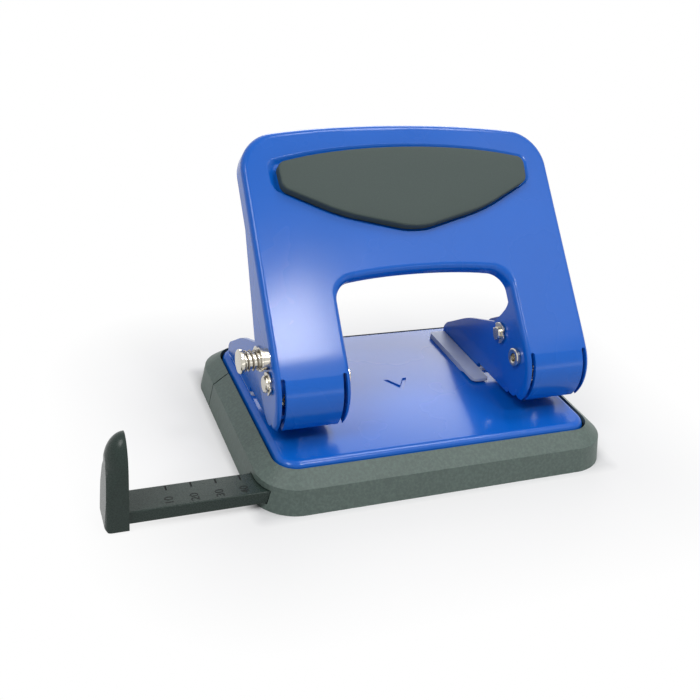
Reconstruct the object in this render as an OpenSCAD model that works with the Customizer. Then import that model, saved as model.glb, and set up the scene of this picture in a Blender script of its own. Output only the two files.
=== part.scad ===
// Desk punch for two holes: a stamped lever on two fixed brackets, a base plate in a plastic
// tray with a chip drawer, a sliding paper guide and a spring-loaded lock plunger.
// X runs to the right, Y to the rear, Z up. The origin is the middle of the tray's underside.
// Millimetres.

/* [Tray] */
// Width of the tray at its foot
tray_w = 116.6; // [114:0.2:124]
// Depth of the tray at its foot
tray_d = 85; // [84:0.5:96]
// Corner radius of the tray at its foot
tray_r = 13.3; // [10:0.1:16]
// Wall of the plastic mouldings
tray_wall = 1.8; // [1.4:0.1:2.2]
// Floor of the tray
tray_floor = 1.8; // [1.6:0.1:2.2]
// Height of the leaning side wall
wall_h = 8; // [7.6:0.1:9]
// Inward lean of the side wall over its height
wall_lean = 1.3; // [0.6:0.1:1.6]
// Rise of the sloping rim
rim_h = 3.8; // [3:0.1:4.5]
// Inward run of the sloping rim
rim_run = 4.9; // [4.2:0.1:5.2]
// Diameter of an anti-slip pad in the underside
pad_d = 9; // [7:0.5:11]
// Depth of the anti-slip pads' pockets
pad_depth = 0.8; // [0.5:0.1:1]

/* [Chip drawer] */
// Distance of the drawer's seam behind the middle
seam_y = 19; // [16:0.5:22]
// Width of the seam
seam_gap = 0.5; // [0.3:0.1:0.8]
// Wall and floor of the drawer's tub
tub_wall = 1.2; // [1:0.1:1.5]
// Running gap under and beside the tub
tub_gap = 0.3; // [0.2:0.05:0.5]

/* [Base plate] */
// Thickness of the base plate
plate_t = 1.5; // [1.2:0.1:1.8]
// Gap between the plate and the tray's rim
plate_gap = 0.8; // [0.4:0.1:1.2]
// Height of the plate's top above the rim
plate_rise = 1; // [0.6:0.1:1.6]
// Outside radius of the plate's rolled edge
plate_edge = 2.4; // [2:0.1:3]
// Depth of the plate's turned-down skirt
plate_skirt = 4.2; // [3.6:0.1:4.6]
// Length of each stroke of the centre mark
mark_len = 7.5; // [5:0.5:10]
// Width of the centre mark's strokes
mark_w = 1.1; // [0.8:0.1:1.5]
// Depth of the centre mark
mark_depth = 0.5; // [0.3:0.1:0.8]
// Radius of the posts that carry the plate
post_r = 2.4; // [2.2:0.1:2.6]
// Height of the bosses welded under the plate
boss_h = 2.4; // [2:0.1:3]
// Radius of the screws that hold the tray
screw_r = 1.3; // [1.1:0.1:1.5]
// Radius of the screw heads
screw_head_r = 2.3; // [2.1:0.1:2.6]

/* [Punches] */
// Distance between the two holes
hole_pitch = 80; // [79:0.5:82]
// Diameter of a punched hole
hole_d = 6; // [5:0.1:6.4]
// Distance of the holes from the paper's edge
hole_margin = 12; // [11:0.5:13]
// Running clearance of punches and pins, on the radius
run_fit = 0.05; // [0.03:0.01:0.08]
// Height of the paper slot
slot_h = 3; // [2.5:0.1:3.6]
// Radius of the punch head
punch_head_r = 5; // [4.6:0.1:5.4]
// Height of the punch head
punch_head_h = 2.3; // [1.8:0.1:2.8]
// Wire of the return springs
spring_wire = 0.7; // [0.5:0.05:0.9]
// Turns of a return spring
spring_turns = 4; // [3:1:5]

/* [Brackets] */
// Thickness of the bracket's sheet
bracket_t = 1.2; // [1:0.1:1.4]
// Gap between the bracket's walls and the lever's flanges
side_gap = 0.4; // [0.3:0.05:0.5]
// Thickness of the foot plate
foot_t = 1; // [0.8:0.1:1.2]
// Width of the foot plate beside the bracket
foot_out = 5.9; // [4.5:0.1:7]
// Length of a foot plate's lip in front of the paper stop
lip_len = 7.6; // [5:0.1:9]
// Height of the lip above the base plate
lip_gap = 0.7; // [0.5:0.1:0.8]
// Length of the bracket's rear tip behind the paper stop
tip_len = 27.5; // [25:0.5:30]
// Radius of a bracket rivet
rivet_r = 2; // [1.6:0.1:2.2]

/* [Lever] */
// Distance of the pivot in front of the middle
pivot_front = 20.5; // [19:0.1:21.5]
// Height of the pivot above the plate
pivot_h = 18.2; // [17.6:0.1:19]
// Distance of the pivot behind the lever's face
pivot_depth = 6.7; // [6.5:0.1:7]
// Angle of the lever's face above the horizontal
lever_tilt = 47; // [44:1:50]
// Length of the lever's face above the pivot
lever_reach = 76.8; // [70:0.2:82]
// Thickness of the lever's sheet
sheet_t = 1.3; // [1.2:0.05:1.4]
// Outside radius of the lever's bends
bend_r = 2.2; // [1.9:0.1:2.6]
// Width of each leg
leg_w = 22.4; // [22:0.1:23]
// Radius of the lever's crowned top edge
crown_r = 300; // [240:1:360]
// Radius of the lever's upper corners
corner_r = 12; // [9:0.5:15]
// Depth of the lever's outer rim
rim_depth = 6.5; // [5:0.1:8]
// Height of the window above the pivot
window_h = 28.8; // [26:0.2:30]
// Radius of the window's crowned top
window_crown_r = 160; // [120:1:180]
// Radius of the window's corners
window_r = 6.5; // [5:0.5:8]
// Depth of the window's rim
window_depth = 4.5; // [3.5:0.1:5.5]
// Radius of the curled tongues at the legs' feet
tongue_r = 13.2; // [12.6:0.1:13.8]
// Arc of a tongue
tongue_arc = 81; // [70:1:84]
// Width of the slits beside a tongue
slit_w = 1.3; // [0.9:0.1:1.5]
// Width of the grip pad
grip_w = 82.4; // [74:0.2:86]
// Height of the grip pad along the face
grip_len = 27.4; // [24:0.2:30]
// Distance of the grip pad's foot above the pivot
grip_foot = 40.6; // [39:0.2:42]
// Thickness of the grip pad above the face
grip_h = 3; // [2:0.1:3.5]
// Depth of the grip pad's recess
grip_sink = 0.4; // [0.2:0.1:0.6]

/* [Pins] */
// Radius of the pivot pins
pivot_r = 2.5; // [2.2:0.1:2.6]
// Radius of the drive pins
drive_r = 2; // [1.8:0.1:2.1]
// Distance of the drive pins behind the pivot
drive_y = 11; // [10.6:0.1:11.4]
// Height of the drive pins above the pivot
drive_z = 2.9; // [2.6:0.1:3.2]
// Radius of the retaining clips
clip_r = 3.4; // [3.2:0.1:3.7]
// Thickness of the retaining clips
clip_t = 0.7; // [0.5:0.1:0.9]
// Play of the clips and heads beside the sheet
clip_play = 0.2; // [0.1:0.05:0.3]
// Swing of the lever from rest to the end of the stroke
lever_swing = 35; // [30:1:36]

/* [Lock plunger] */
// Distance of the plunger behind the pivot
lock_y = 3.2; // [3:0.1:3.4]
// Height of the plunger above the pivot
lock_z = 6.2; // [6.1:0.1:6.5]
// Radius of the plunger's stem
lock_r = 2.4; // [2.2:0.1:2.5]
// Radius of the plunger's tip
lock_tip_r = 1.4; // [1.2:0.05:1.5]
// Travel of the plunger
lock_travel = 2.4; // [2:0.1:2.5]
// Free length of the plunger's spring
lock_spring_len = 4.6; // [4.4:0.1:5]
// Wire of the plunger's spring
lock_wire = 0.45; // [0.4:0.05:0.55]
// Turns of the plunger's spring
lock_turns = 3.5; // [3:0.5:4]

/* [Paper guide] */
// Width of the guide bar
bar_w = 9.8; // [8:0.1:10.5]
// Thickness of the guide bar
bar_t = 4; // [3.5:0.1:4.3]
// Distance of the bar's front edge from the tray's front foot
bar_inset = 5.5; // [5:0.1:6.5]
// How far the bar stands out of the tray
bar_out = 35; // [20:1:60]
// Length of the bar inside the tray
bar_in = 78; // [60:1:80]
// Running gap round the bar
bar_gap = 0.25; // [0.2:0.05:0.4]
// Length of the leaf spring on the bar
leaf_len = 20; // [16:0.5:24]
// Thickness of the leaf spring
leaf_t = 0.5; // [0.4:0.05:0.7]
// Thickness of the guide's stop
stop_t = 6.4; // [5:0.1:8]
// Height of the guide's stop
stop_h = 27.6; // [25:0.2:34]
// Width of the guide's stop
stop_w = 11.5; // [10.5:0.5:12.5]

/* [Hidden] */

$fn = 48;
paint_blue = [0.04, 0.16, 0.75];
plastic_dark = [0.22, 0.26, 0.24];
nickel = [0.78, 0.75, 0.68];
zinc = [0.66, 0.69, 0.74];
rubber_dark = [0.16, 0.19, 0.18];
// Reach of cutters past the faces that they cut
cut = 1;
// Working gap between a punch head and its drive pin
head_gap = 0.1;

// Heights, from the underside of the tray
floor_top = tray_floor;
rim_top = wall_h + rim_h;
plate_top = rim_top + plate_rise;
plate_low = plate_top - plate_t;
skirt_low = plate_top - plate_skirt;
web_low = plate_top + slot_h;
foot_top = plate_top + foot_t;

// Base plate
plate_hx = tray_w / 2 - wall_lean - rim_run - plate_gap;
plate_hy = tray_d / 2 - wall_lean - rim_run - plate_gap;
plate_r = tray_r - wall_lean - rim_run - plate_gap;
boss_r = post_r - 0.4;
post_x = plate_hx - plate_edge - boss_r - 0.05;
post_top = plate_low - boss_h;

// Lever axes
pivot_y = -pivot_front;
pivot_z = plate_top + pivot_h;
drive_reach = norm([drive_y, drive_z]);
drive_angle = atan2(drive_z, drive_y);
// Middle of the drive pin's short fore and aft motion
drive_end_y = drive_reach * cos(drive_angle - lever_swing);
punch_y = pivot_y + (drive_y + drive_end_y) / 2;
stop_y = punch_y + hole_margin;
tip_y = stop_y + tip_len;
leg_x = hole_pitch / 2;
leg_in = leg_x - leg_w / 2;
leg_out = leg_x + leg_w / 2;
bracket_in = leg_in + sheet_t + side_gap;
bracket_out = leg_out - sheet_t - side_gap;
tongue_w = leg_w - 2 * (sheet_t + slit_w);

// Punch
punch_top = pivot_z + drive_z - drive_r - head_gap;
punch_r = hole_d / 2;
die_r = punch_r + run_fit;
punch_tip = web_low + 0.4;
bush_flange = 1;
bush_top = web_low + bracket_t + bush_flange;
bush_r = punch_r + 1.1;
spring_r = punch_head_r - spring_wire / 2 - 0.3;

// Lock plunger, outside the left leg
flange_x = -leg_out;
lock_swung = [lock_y * cos(lever_swing) + lock_z * sin(lever_swing),
    lock_z * cos(lever_swing) - lock_y * sin(lever_swing)];
lock_bush_r = lock_r + run_fit + 0.65;
lock_collar_x = flange_x - 2.5;
lock_head_x = lock_collar_x - lock_spring_len;
lock_head_t = 1.5;
lock_head_r = lock_r + 1.1;

// Paper guide
bar_front = -tray_d / 2 + bar_inset;
bar_low = floor_top + bar_gap;
bar_left = -tray_w / 2 - bar_out;

// Chip drawer
tub_hx = post_x - post_r - tub_gap;
tub_low = floor_top + tub_gap;
tub_top = skirt_low - tub_gap;
tub_front = punch_y - punch_r - 6;
tub_rear = tray_d / 2 - tray_wall / 2 - wall_lean / 2;

// Straight-line helpers
function unit(v) = v / norm(v);

// Arc of one rounded corner at b, between the neighbours a and c
function corner_arc(a, b, c, r, steps) =
    let (
        u = unit(a - b),
        v = unit(c - b),
        half = acos(u * v) / 2,
        centre = b + unit(u + v) * r / sin(half),
        from = b + u * r / tan(half) - centre,
        to = b + v * r / tan(half) - centre,
        start = atan2(from.y, from.x),
        turn = atan2(from.x * to.y - from.y * to.x, from * to)
    )
    [for (k = [0:steps]) centre + r * [cos(start + turn * k / steps), sin(start + turn * k / steps)]];

// Outline whose points [x, y, radius] are rounded corners
function rounded(points, steps = 8) =
    let (count = len(points))
    [for (i = [0:count - 1])
        let (
            before = points[(i + count - 1) % count],
            here = points[i],
            after = points[(i + 1) % count]
        )
        each here[2] == 0 ? [[here.x, here.y]]
            : corner_arc([before.x, before.y], [here.x, here.y], [after.x, after.y], here[2], steps)];

// Points on an arc about centre
function arc(centre, r, from, to, steps) =
    [for (k = [0:steps])
        let (a = from + (to - from) * k / steps)
        centre + r * [cos(a), sin(a)]];

// Extrudes a profile drawn in Y and Z along X, from x to x + width
module along_x(x, width) {
    translate([x, 0, 0]) rotate([90, 0, 90]) linear_extrude(width) children();
}

// Cylinder along X from x to x + length
module rod_x(x, length, r) {
    translate([x, 0, 0]) rotate([0, 90, 0]) cylinder(r = r, h = length);
}

// Copies for the right side and, mirrored, for the left
module both_sides() {
    children();
    mirror([1, 0, 0]) children();
}

// Box from its two corners
module block(low, high) {
    translate(low) cube(high - low);
}

// Rectangle with round corners, by its half sizes
module round_rect(hx, hy, r) {
    translate([-hx + r, -hy]) square([2 * (hx - r), 2 * hy]);
    translate([-hx, -hy + r]) square([2 * hx, 2 * (hy - r)]);
    for (sx = [-1, 1], sy = [-1, 1]) translate([sx * (hx - r), sy * (hy - r)]) circle(r);
}

// Sweeps a profile round a rounded rectangle: the profile's X points outward, its Y up
module round_ring(hx, hy, r) {
    for (turn = [0, 180]) rotate([0, 0, turn]) {
        translate([hx, hy - r, 0]) rotate([90, 0, 0]) linear_extrude(2 * (hy - r)) children();
        rotate([0, 0, 90]) translate([hy, hx - r, 0]) rotate([90, 0, 0])
            linear_extrude(2 * (hx - r)) children();
        translate([hx - r, hy - r, 0]) rotate_extrude(angle = 90) translate([r, 0]) children();
        translate([r - hx, hy - r, 0]) rotate([0, 0, 90])
            rotate_extrude(angle = 90) translate([r, 0]) children();
    }
}

// Section of a sheet edge that rolls down from the face at Y = 0, outward face at X = 0
module rolled_edge(r, t, depth) {
    translate([-r, -r]) intersection() {
        difference() {
            circle(r);
            circle(r - t);
        }
        square(r);
    }
    translate([-t, -depth]) square([t, depth - r]);
}

// Unbroken tube of six sides along points that wind about the Z axis
module wound_tube(points, r) {
    last = len(points) - 1;
    sides = 6;
    rings = [for (i = [0:last])
        let (
            t = unit(points[min(i + 1, last)] - points[max(i - 1, 0)]),
            radial = unit([points[i].x, points[i].y, 0]),
            n = unit(radial - (radial * t) * t),
            b = cross(t, n)
        )
        each [for (k = [0:sides - 1]) points[i] + r * (cos(360 * k / sides) * n + sin(360 * k / sides) * b)]];
    skin = [for (i = [0:last - 1], k = [0:sides - 1])
        let (
            a = i * sides + k,
            b = i * sides + (k + 1) % sides
        )
        each [[a, a + sides, b + sides], [a, b + sides, b]]];
    caps = [for (k = [1:sides - 2])
        each [[0, k, k + 1], [last * sides, last * sides + k + 1, last * sides + k]]];
    polyhedron(points = rings, faces = concat(skin, caps));
}

// Route of a compression spring from z = 0 to z = length, with short straight ends along Z
function spring_route(r, wire, length, turns) =
    let (
        steps = 8 * turns,
        rise = length - 4 * wire
    )
    concat(
        [[r, 0, 0], [r, 0, wire]],
        [for (k = [1:steps - 1])
            [r * cos(360 * k / 8), r * sin(360 * k / 8), 2 * wire + rise * k / steps]],
        [[r * cos(45 * steps), r * sin(45 * steps), length - wire],
            [r * cos(45 * steps), r * sin(45 * steps), length]]);

// Least gap of a spring to itself, over points more than half a turn apart
function spring_gap(route, wire) =
    min([for (i = [0:len(route) - 1], k = [0:len(route) - 1])
        if (k > i + 5) norm(route[k] - route[i])]) - wire;

// Tray and drawer share one leaning wall with a sloping rim
module tray_section() {
    inset = wall_lean + rim_run;
    polygon([[0, 0], [-wall_lean, wall_h], [-inset, rim_top], [-inset, rim_top - tray_wall],
        [-wall_lean - tray_wall, wall_h - tray_wall / 2], [-tray_wall, 0]]);
}

module tray_wall_ring() {
    round_ring(tray_w / 2, tray_d / 2, tray_r) tray_section();
}

// Places of the four posts, screws and bosses: behind the guide bar, and between the rivets
module at_posts() {
    for (sx = [-1, 1], y = [punch_y - 12.5, (stop_y + tip_y) / 2]) translate([sx * post_x, y, 0]) children();
}

// Places of the anti-slip pads
module at_pads() {
    for (sx = [-1, 1], sy = [-1, 1])
        translate([sx * (tray_w / 2 - tray_r + 1), sy * (tray_d / 2 - 0.75 * tray_r), 0]) children();
}

module base_tray() color(plastic_dark) {
    rib_t = 1.2;
    bar_rear = bar_front + bar_w;
    inner_x = tray_w / 2 - tray_wall - 1;
    front_x = tray_w / 2 - tray_r;
    bay_x = front_x + 4;
    difference() {
        union() {
            intersection() {
                tray_wall_ring();
                block([-tray_w, -tray_d, -cut], [tray_w, seam_y, rim_top + cut]);
            }
            // Floor, drawn in under the drawer so that the drawer's wall passes round it
            linear_extrude(tray_floor) intersection() {
                round_rect(tray_w / 2 - tray_wall / 2, tray_d / 2 - tray_wall / 2, tray_r - tray_wall / 2);
                translate([-tray_w, -tray_d]) square([2 * tray_w, tray_d + seam_y]);
            }
            linear_extrude(tray_floor)
                round_rect(plate_hx, tray_d / 2 - tray_wall - tub_wall, 0.62 * tray_r);
            block([-inner_x, bar_rear + bar_gap, 0], [inner_x, bar_rear + bar_gap + rib_t, bar_low + bar_t]);
            block([-front_x, bar_front - bar_gap - rib_t, 0],
                [front_x, bar_front - bar_gap, bar_low + bar_t / 2]);
            at_posts() cylinder(r = post_r, h = post_top);
        }
        // Opening of the guide bar
        block([-tray_w, bar_front - bar_gap, floor_top],
            [-bay_x, bar_rear + bar_gap, bar_low + bar_t + bar_gap]);
        at_pads() translate([0, 0, -cut]) cylinder(d = pad_d + 2 * run_fit, h = pad_depth + cut);
        at_posts() {
            translate([0, 0, -cut]) cylinder(r = screw_r + run_fit, h = post_top + 2 * cut);
            translate([0, 0, -cut]) cylinder(r = screw_head_r + 2 * run_fit, h = tray_floor - 0.4 + cut);
        }
    }
}

module chip_drawer() color(plastic_dark) {
    intersection() {
        tray_wall_ring();
        block([-tray_w, seam_y + seam_gap, -cut], [tray_w, tray_d, rim_top + cut]);
    }
    difference() {
        block([-tub_hx, tub_front, tub_low], [tub_hx, tub_rear, tub_top]);
        block([tub_wall - tub_hx, tub_front + tub_wall, tub_low + tub_wall],
            [tub_hx - tub_wall, tub_rear - tub_wall, tub_top + cut]);
    }
}

module anti_slip_pads() color(rubber_dark) at_pads() cylinder(d = pad_d, h = pad_depth);

module base_plate() color(paint_blue) difference() {
    union() {
        translate([0, 0, plate_low]) linear_extrude(plate_t)
            round_rect(plate_hx - plate_edge, plate_hy - plate_edge, plate_r - plate_edge);
        translate([0, 0, plate_top]) round_ring(plate_hx, plate_hy, plate_r)
            rolled_edge(plate_edge, plate_t, plate_skirt);
    }
    both_sides() {
        translate([leg_x, punch_y, plate_low - cut]) cylinder(r = die_r, h = plate_t + 2 * cut);
        at_rivets() translate([0, 0, plate_low - cut]) cylinder(r = rivet_r + run_fit, h = plate_t + 2 * cut);
        // Half of the centre mark, whose point faces the paper
        translate([0, -0.32 * mark_len, plate_top - mark_depth]) rotate([0, 0, -27])
            translate([-mark_w / 2, 0, 0]) cube([mark_w, mark_len, mark_depth + cut]);
    }
}

module weld_bosses() color(zinc) at_posts() translate([0, 0, post_top]) difference() {
    cylinder(r = boss_r, h = boss_h);
    translate([0, 0, -cut]) cylinder(r = screw_r + run_fit, h = boss_h + 2 * cut);
}

module base_screws() color(zinc) at_posts() {
    head_h = tray_floor - 0.6;
    difference() {
        translate([0, 0, 0.2]) cylinder(r = screw_head_r, h = head_h);
        // Cross recess
        for (turn = [0, 90]) rotate([0, 0, turn]) block([-1.5, -0.3, -cut], [1.5, 0.3, head_h * 0.6 + 0.2]);
    }
    translate([0, 0, head_h]) cylinder(r = screw_r, h = plate_low - 0.4 - head_h);
}

// Places of one bracket's rivets, on the right
module at_rivets() {
    for (y = [stop_y + tip_len / 4, tip_y - tip_len / 4]) translate([leg_x, y, 0]) children();
}

module foot_plate() color(zinc) difference() {
    union() {
        translate([0, 0, plate_top]) linear_extrude(foot_t)
            polygon(rounded([
                [bracket_in - foot_out, stop_y, 2], [bracket_out - 0.4, stop_y, 1],
                [bracket_out - 0.4, tip_y - 1, 1], [bracket_in - foot_out, tip_y - 1, 1]]));
        // Raised lip beside the bracket that keeps the paper flat
        translate([0, 0, plate_top + lip_gap]) linear_extrude(foot_t)
            polygon(rounded([
                [bracket_in - foot_out, stop_y - lip_len, 2],
                [bracket_in - run_fit - 0.15, stop_y - lip_len, 1],
                [bracket_in - run_fit - 0.15, tip_y - 1, 0.5], [bracket_in - foot_out, tip_y - 1, 1]]));
    }
    at_rivets() translate([0, 0, plate_top - cut]) cylinder(r = rivet_r + run_fit, h = foot_t + 2 * cut);
}

module foot_plate_right() foot_plate();
module foot_plate_left() mirror([1, 0, 0]) foot_plate();

// Outline of a bracket's wall in Y and Z, from the pivot
module bracket_outline() {
    low = web_low - pivot_z;
    seat = foot_top - pivot_z;
    rear = tip_y - pivot_y;
    stop = stop_y - pivot_y;
    hub = pivot_depth - sheet_t - 0.4;
    circle(hub);
    polygon(rounded([
        [-hub, 0, 0], [0.07 * rear, low, 0.03 * rear], [stop + 1, low, 0.8], [stop + 1, seat, 0],
        [rear, seat, 0.5], [rear, seat + 0.045 * rear, 0.03 * rear],
        [0.97 * rear, seat + 0.0875 * rear, 0.1 * rear],
        [0.7 * rear, -0.22 * pivot_h, 0.8 * rear], [0.35 * rear, 0.18 * pivot_h, 0.6 * rear],
        [0.21 * rear, 0.36 * pivot_h, 0.12 * rear],
        [0.1 * hub, hub, 0], [0, 0, 0]]));
}

// Slot in which a drive pin swings about the pivot, as a cutter along X
module swing_slot(x, width) {
    half = drive_r + 0.35;
    translate([x, pivot_y, pivot_z]) rotate([90, 0, 90]) {
        rotate([0, 0, drive_angle - lever_swing]) rotate_extrude(angle = lever_swing)
            translate([drive_reach - half, 0]) square([2 * half, width]);
        for (turn = [drive_angle, drive_angle - lever_swing])
            rotate([0, 0, turn]) translate([drive_reach, 0, 0]) cylinder(r = half, h = width);
    }
}

module bracket() color(paint_blue) {
    inside = bracket_out - bracket_in - 2 * bracket_t;
    difference() {
        union() {
            for (x = [bracket_in, bracket_out - bracket_t])
                translate([0, pivot_y, pivot_z]) along_x(x, bracket_t) bracket_outline();
            // Raised web that guides the punch
            block([bracket_in, punch_y - 7, web_low], [bracket_out, punch_y + 9, web_low + bracket_t]);
            // Floor on the foot plate
            block([bracket_in, stop_y + 2.5, foot_top], [bracket_out, tip_y - 2.5, foot_top + bracket_t]);
        }
        swing_slot(bracket_in - cut, inside + 2 * bracket_t + 2 * cut);
        translate([0, pivot_y, pivot_z])
            rod_x(bracket_in - cut, inside + 2 * bracket_t + 2 * cut, pivot_r + 0.02);
        translate([leg_x, punch_y, web_low - cut]) cylinder(r = bush_r + 0.02, h = bracket_t + 2 * cut);
        at_rivets() translate([0, 0, foot_top - cut])
            cylinder(r = rivet_r + run_fit, h = bracket_t + 2 * cut);
    }
}

module bracket_right() bracket();

// The left bracket also takes the lock plunger's tip, with the lever up and down
module bracket_left() color(paint_blue) difference() {
    mirror([1, 0, 0]) bracket();
    for (place = [[lock_y, lock_z], lock_swung])
        translate([0, pivot_y + place.x, pivot_z + place.y])
            rod_x(-bracket_out - cut, bracket_t + 2 * cut, lock_tip_r + 0.3);
}

module bracket_rivets() color(zinc) both_sides() at_rivets() {
    head_r = 1.6 * rivet_r;
    head_h = rivet_r / 2;
    translate([0, 0, plate_low - head_h]) cylinder(r = head_r, h = head_h);
    translate([0, 0, plate_low - head_h])
        cylinder(r = rivet_r, h = foot_top + bracket_t - plate_low + 2 * head_h);
    translate([0, 0, foot_top + bracket_t]) cylinder(r = head_r, h = head_h);
}

module guide_bush() color(nickel) translate([leg_x, punch_y, 0]) difference() {
    union() {
        translate([0, 0, web_low]) cylinder(r = bush_r, h = bracket_t);
        translate([0, 0, web_low + bracket_t]) cylinder(r = punch_head_r, h = bush_flange);
    }
    translate([0, 0, web_low - cut]) cylinder(r = die_r, h = bracket_t + bush_flange + 2 * cut);
}

module guide_bush_right() guide_bush();
module guide_bush_left() mirror([1, 0, 0]) guide_bush();

// Ends of the pins, measured from the legs' faces
pin_head_t = 1.1;
clip_x = clip_play;
groove_depth = 0.6;
pin_end = clip_play + clip_t + 0.9;

module pivot_pin() color(nickel) translate([0, pivot_y, pivot_z]) difference() {
    union() {
        rod_x(leg_in - clip_play - pin_head_t, leg_out - leg_in + clip_play + pin_head_t + pin_end, pivot_r);
        rod_x(leg_in - clip_play - pin_head_t, pin_head_t, clip_r - 0.5);
    }
    // Hollow of the riveted head
    rod_x(leg_in - clip_play - pin_head_t - cut, 2 + cut, pivot_r - 1.2);
    // Groove of the clip
    translate([leg_out + clip_x, 0, 0]) rotate([0, 90, 0]) difference() {
        cylinder(r = pivot_r + cut, h = clip_t);
        translate([0, 0, -cut]) cylinder(r = pivot_r - groove_depth, h = clip_t + 2 * cut);
    }
}

module pivot_pin_right() pivot_pin();
module pivot_pin_left() mirror([1, 0, 0]) pivot_pin();

// Open retaining clip along X that hugs a groove of radius r
module clip(x, r) {
    hug = r + 0.05;
    translate([x, 0, 0]) rotate([90, 0, 90]) linear_extrude(clip_t) difference() {
        circle(clip_r);
        circle(hug);
        translate([-hug * 0.8, -clip_r - cut]) square([hug * 1.6, clip_r + cut]);
        for (turn = [20, 160]) rotate(turn) translate([clip_r + 0.2, 0]) circle(1);
    }
}

module pivot_clips() color(nickel) both_sides()
    translate([0, pivot_y, pivot_z]) clip(leg_out + clip_x, pivot_r - groove_depth);

// Frame of the lever: X to the right, Y up along its face, Z out of its face, pivot's foot at 0
module lever_frame() {
    translate([0, pivot_y - pivot_depth * sin(lever_tilt), pivot_z + pivot_depth * cos(lever_tilt)])
        rotate([lever_tilt, 0, 0]) children();
}

// Place in the lever's frame of a point given behind and above the pivot
function in_lever(y, z) = [y * cos(lever_tilt) + z * sin(lever_tilt),
    z * cos(lever_tilt) - y * sin(lever_tilt) - pivot_depth];

drive_at = in_lever(drive_y, drive_z);
lock_at = in_lever(lock_y, lock_z);

// Outline of the lever or of its window, from the right foot over the crown to the left foot;
// grow moves it outward. All of its outlines have the same number of points.
function arch(hx, top, crown, r, grow, corner_steps = 8, crown_steps = 14) =
    let (
        base = top - crown,
        side = base + sqrt((crown - r) ^ 2 - (hx - r) ^ 2),
        lean = atan2(hx - r, side - base),
        right = [for (k = [0:corner_steps])
            let (a = (90 - lean) * k / corner_steps)
            [hx - r + (r + grow) * cos(a), side + (r + grow) * sin(a)]],
        over = [for (k = [1:crown_steps - 1])
            let (a = lean - 2 * lean * k / crown_steps)
            [(crown + grow) * sin(a), base + (crown + grow) * cos(a)]]
    )
    concat(
        [[hx + grow, 0]],
        right,
        over,
        [for (k = [corner_steps:-1:0]) [-right[k].x, right[k].y]],
        [[-hx - grow, 0]]);

// Sheet of the lever's face with its rolled outer edge and its rolled window edge, in one skin.
// Each profile point is [0 for the outline or 1 for the window, offset from it, height].
module lever_shell(bend_steps = 5) {
    t = sheet_t;
    turn = [for (k = [0:bend_steps]) 90 * k / bend_steps];
    outside = concat(
        [[0, 0, -rim_depth]],
        [for (a = turn) [0, bend_r * (cos(a) - 1), bend_r * (sin(a) - 1)]],
        [for (a = turn) [1, bend_r * (1 - sin(a)), bend_r * (cos(a) - 1)]],
        [[1, 0, -window_depth]]);
    inside = concat(
        [[0, -t, -rim_depth]],
        [for (a = turn) [0, (bend_r - t) * cos(a) - bend_r, (bend_r - t) * sin(a) - bend_r]],
        [for (a = turn) [1, bend_r - (bend_r - t) * sin(a), (bend_r - t) * cos(a) - bend_r]],
        [[1, t, -window_depth]]);
    last = len(outside) - 1;
    profile = concat(outside, [for (k = [last:-1:0]) inside[k]]);
    count = len(profile);
    tracks = [for (p = profile)
        p[0] == 0 ? arch(leg_out, lever_reach, crown_r, corner_r, p[1])
            : arch(leg_in, window_h, window_crown_r, window_r, p[1])];
    end = len(tracks[0]) - 1;
    points = [for (i = [0:end], j = [0:count - 1]) [tracks[j][i].x, tracks[j][i].y, profile[j][2]]];
    skin = [for (i = [0:end - 1], j = [0:count - 1])
        let (
            a = i * count + j,
            b = i * count + (j + 1) % count
        )
        each [[a, b, b + count], [a, b + count, a + count]]];
    feet = [for (k = [0:last - 1])
        let (
            far = end * count,
            q = count - 1 - k
        )
        each [[k, q, q - 1], [k, q - 1, k + 1],
            [far + k, far + k + 1, far + q - 1], [far + k, far + q - 1, far + q]]];
    polyhedron(points = points, faces = concat(skin, feet));
}

// Radius of the lobe round a drive pin, and the point of the lobe at an angle
lobe_r = 2.55 * drive_r;
function on_lobe(angle) = drive_at + lobe_r * [cos(angle), sin(angle)];

// Lower part of a leg's flange, in the lever's Y and Z, and its rear edge up to the given points
module flange_outline(rear_edge) {
    front = arc([0, -tongue_r], tongue_r, 90, 166, 14);
    heel = [-0.394, -1.258] * tongue_r;
    polygon(concat(
        [for (p = rear_edge) p],
        [[0, -bend_r]],
        front,
        corner_arc(front[14], [-0.992, -1.015] * tongue_r, heel, tongue_r / 6, 6),
        [heel, on_lobe(-115)]));
    translate(drive_at) circle(lobe_r);
}

// Grip pad's outline on the lever's face: crowned above, drawn to a blunt point below
module grip_outline() {
    half = grip_w / 2;
    low = grip_foot;
    shoulder = low + 0.814 * grip_len;
    rise = 0.326 * grip_len;
    // The crown's arc takes most of each upper edge, whatever the pad's width and height
    crown = 0.872 * norm([half, rise]) * half / rise;
    polygon(rounded([
        [0, low, 0.52 * half], [0.57 * half, low + 0.219 * grip_len, 1.2 * half],
        [0.986 * half, low + 0.526 * grip_len, 0.1 * half], [half, shoulder, 0.1 * half],
        [0, shoulder + rise, crown], [-half, shoulder, 0.1 * half],
        [-0.986 * half, low + 0.526 * grip_len, 0.1 * half],
        [-0.57 * half, low + 0.219 * grip_len, 1.2 * half]]));
}

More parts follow.
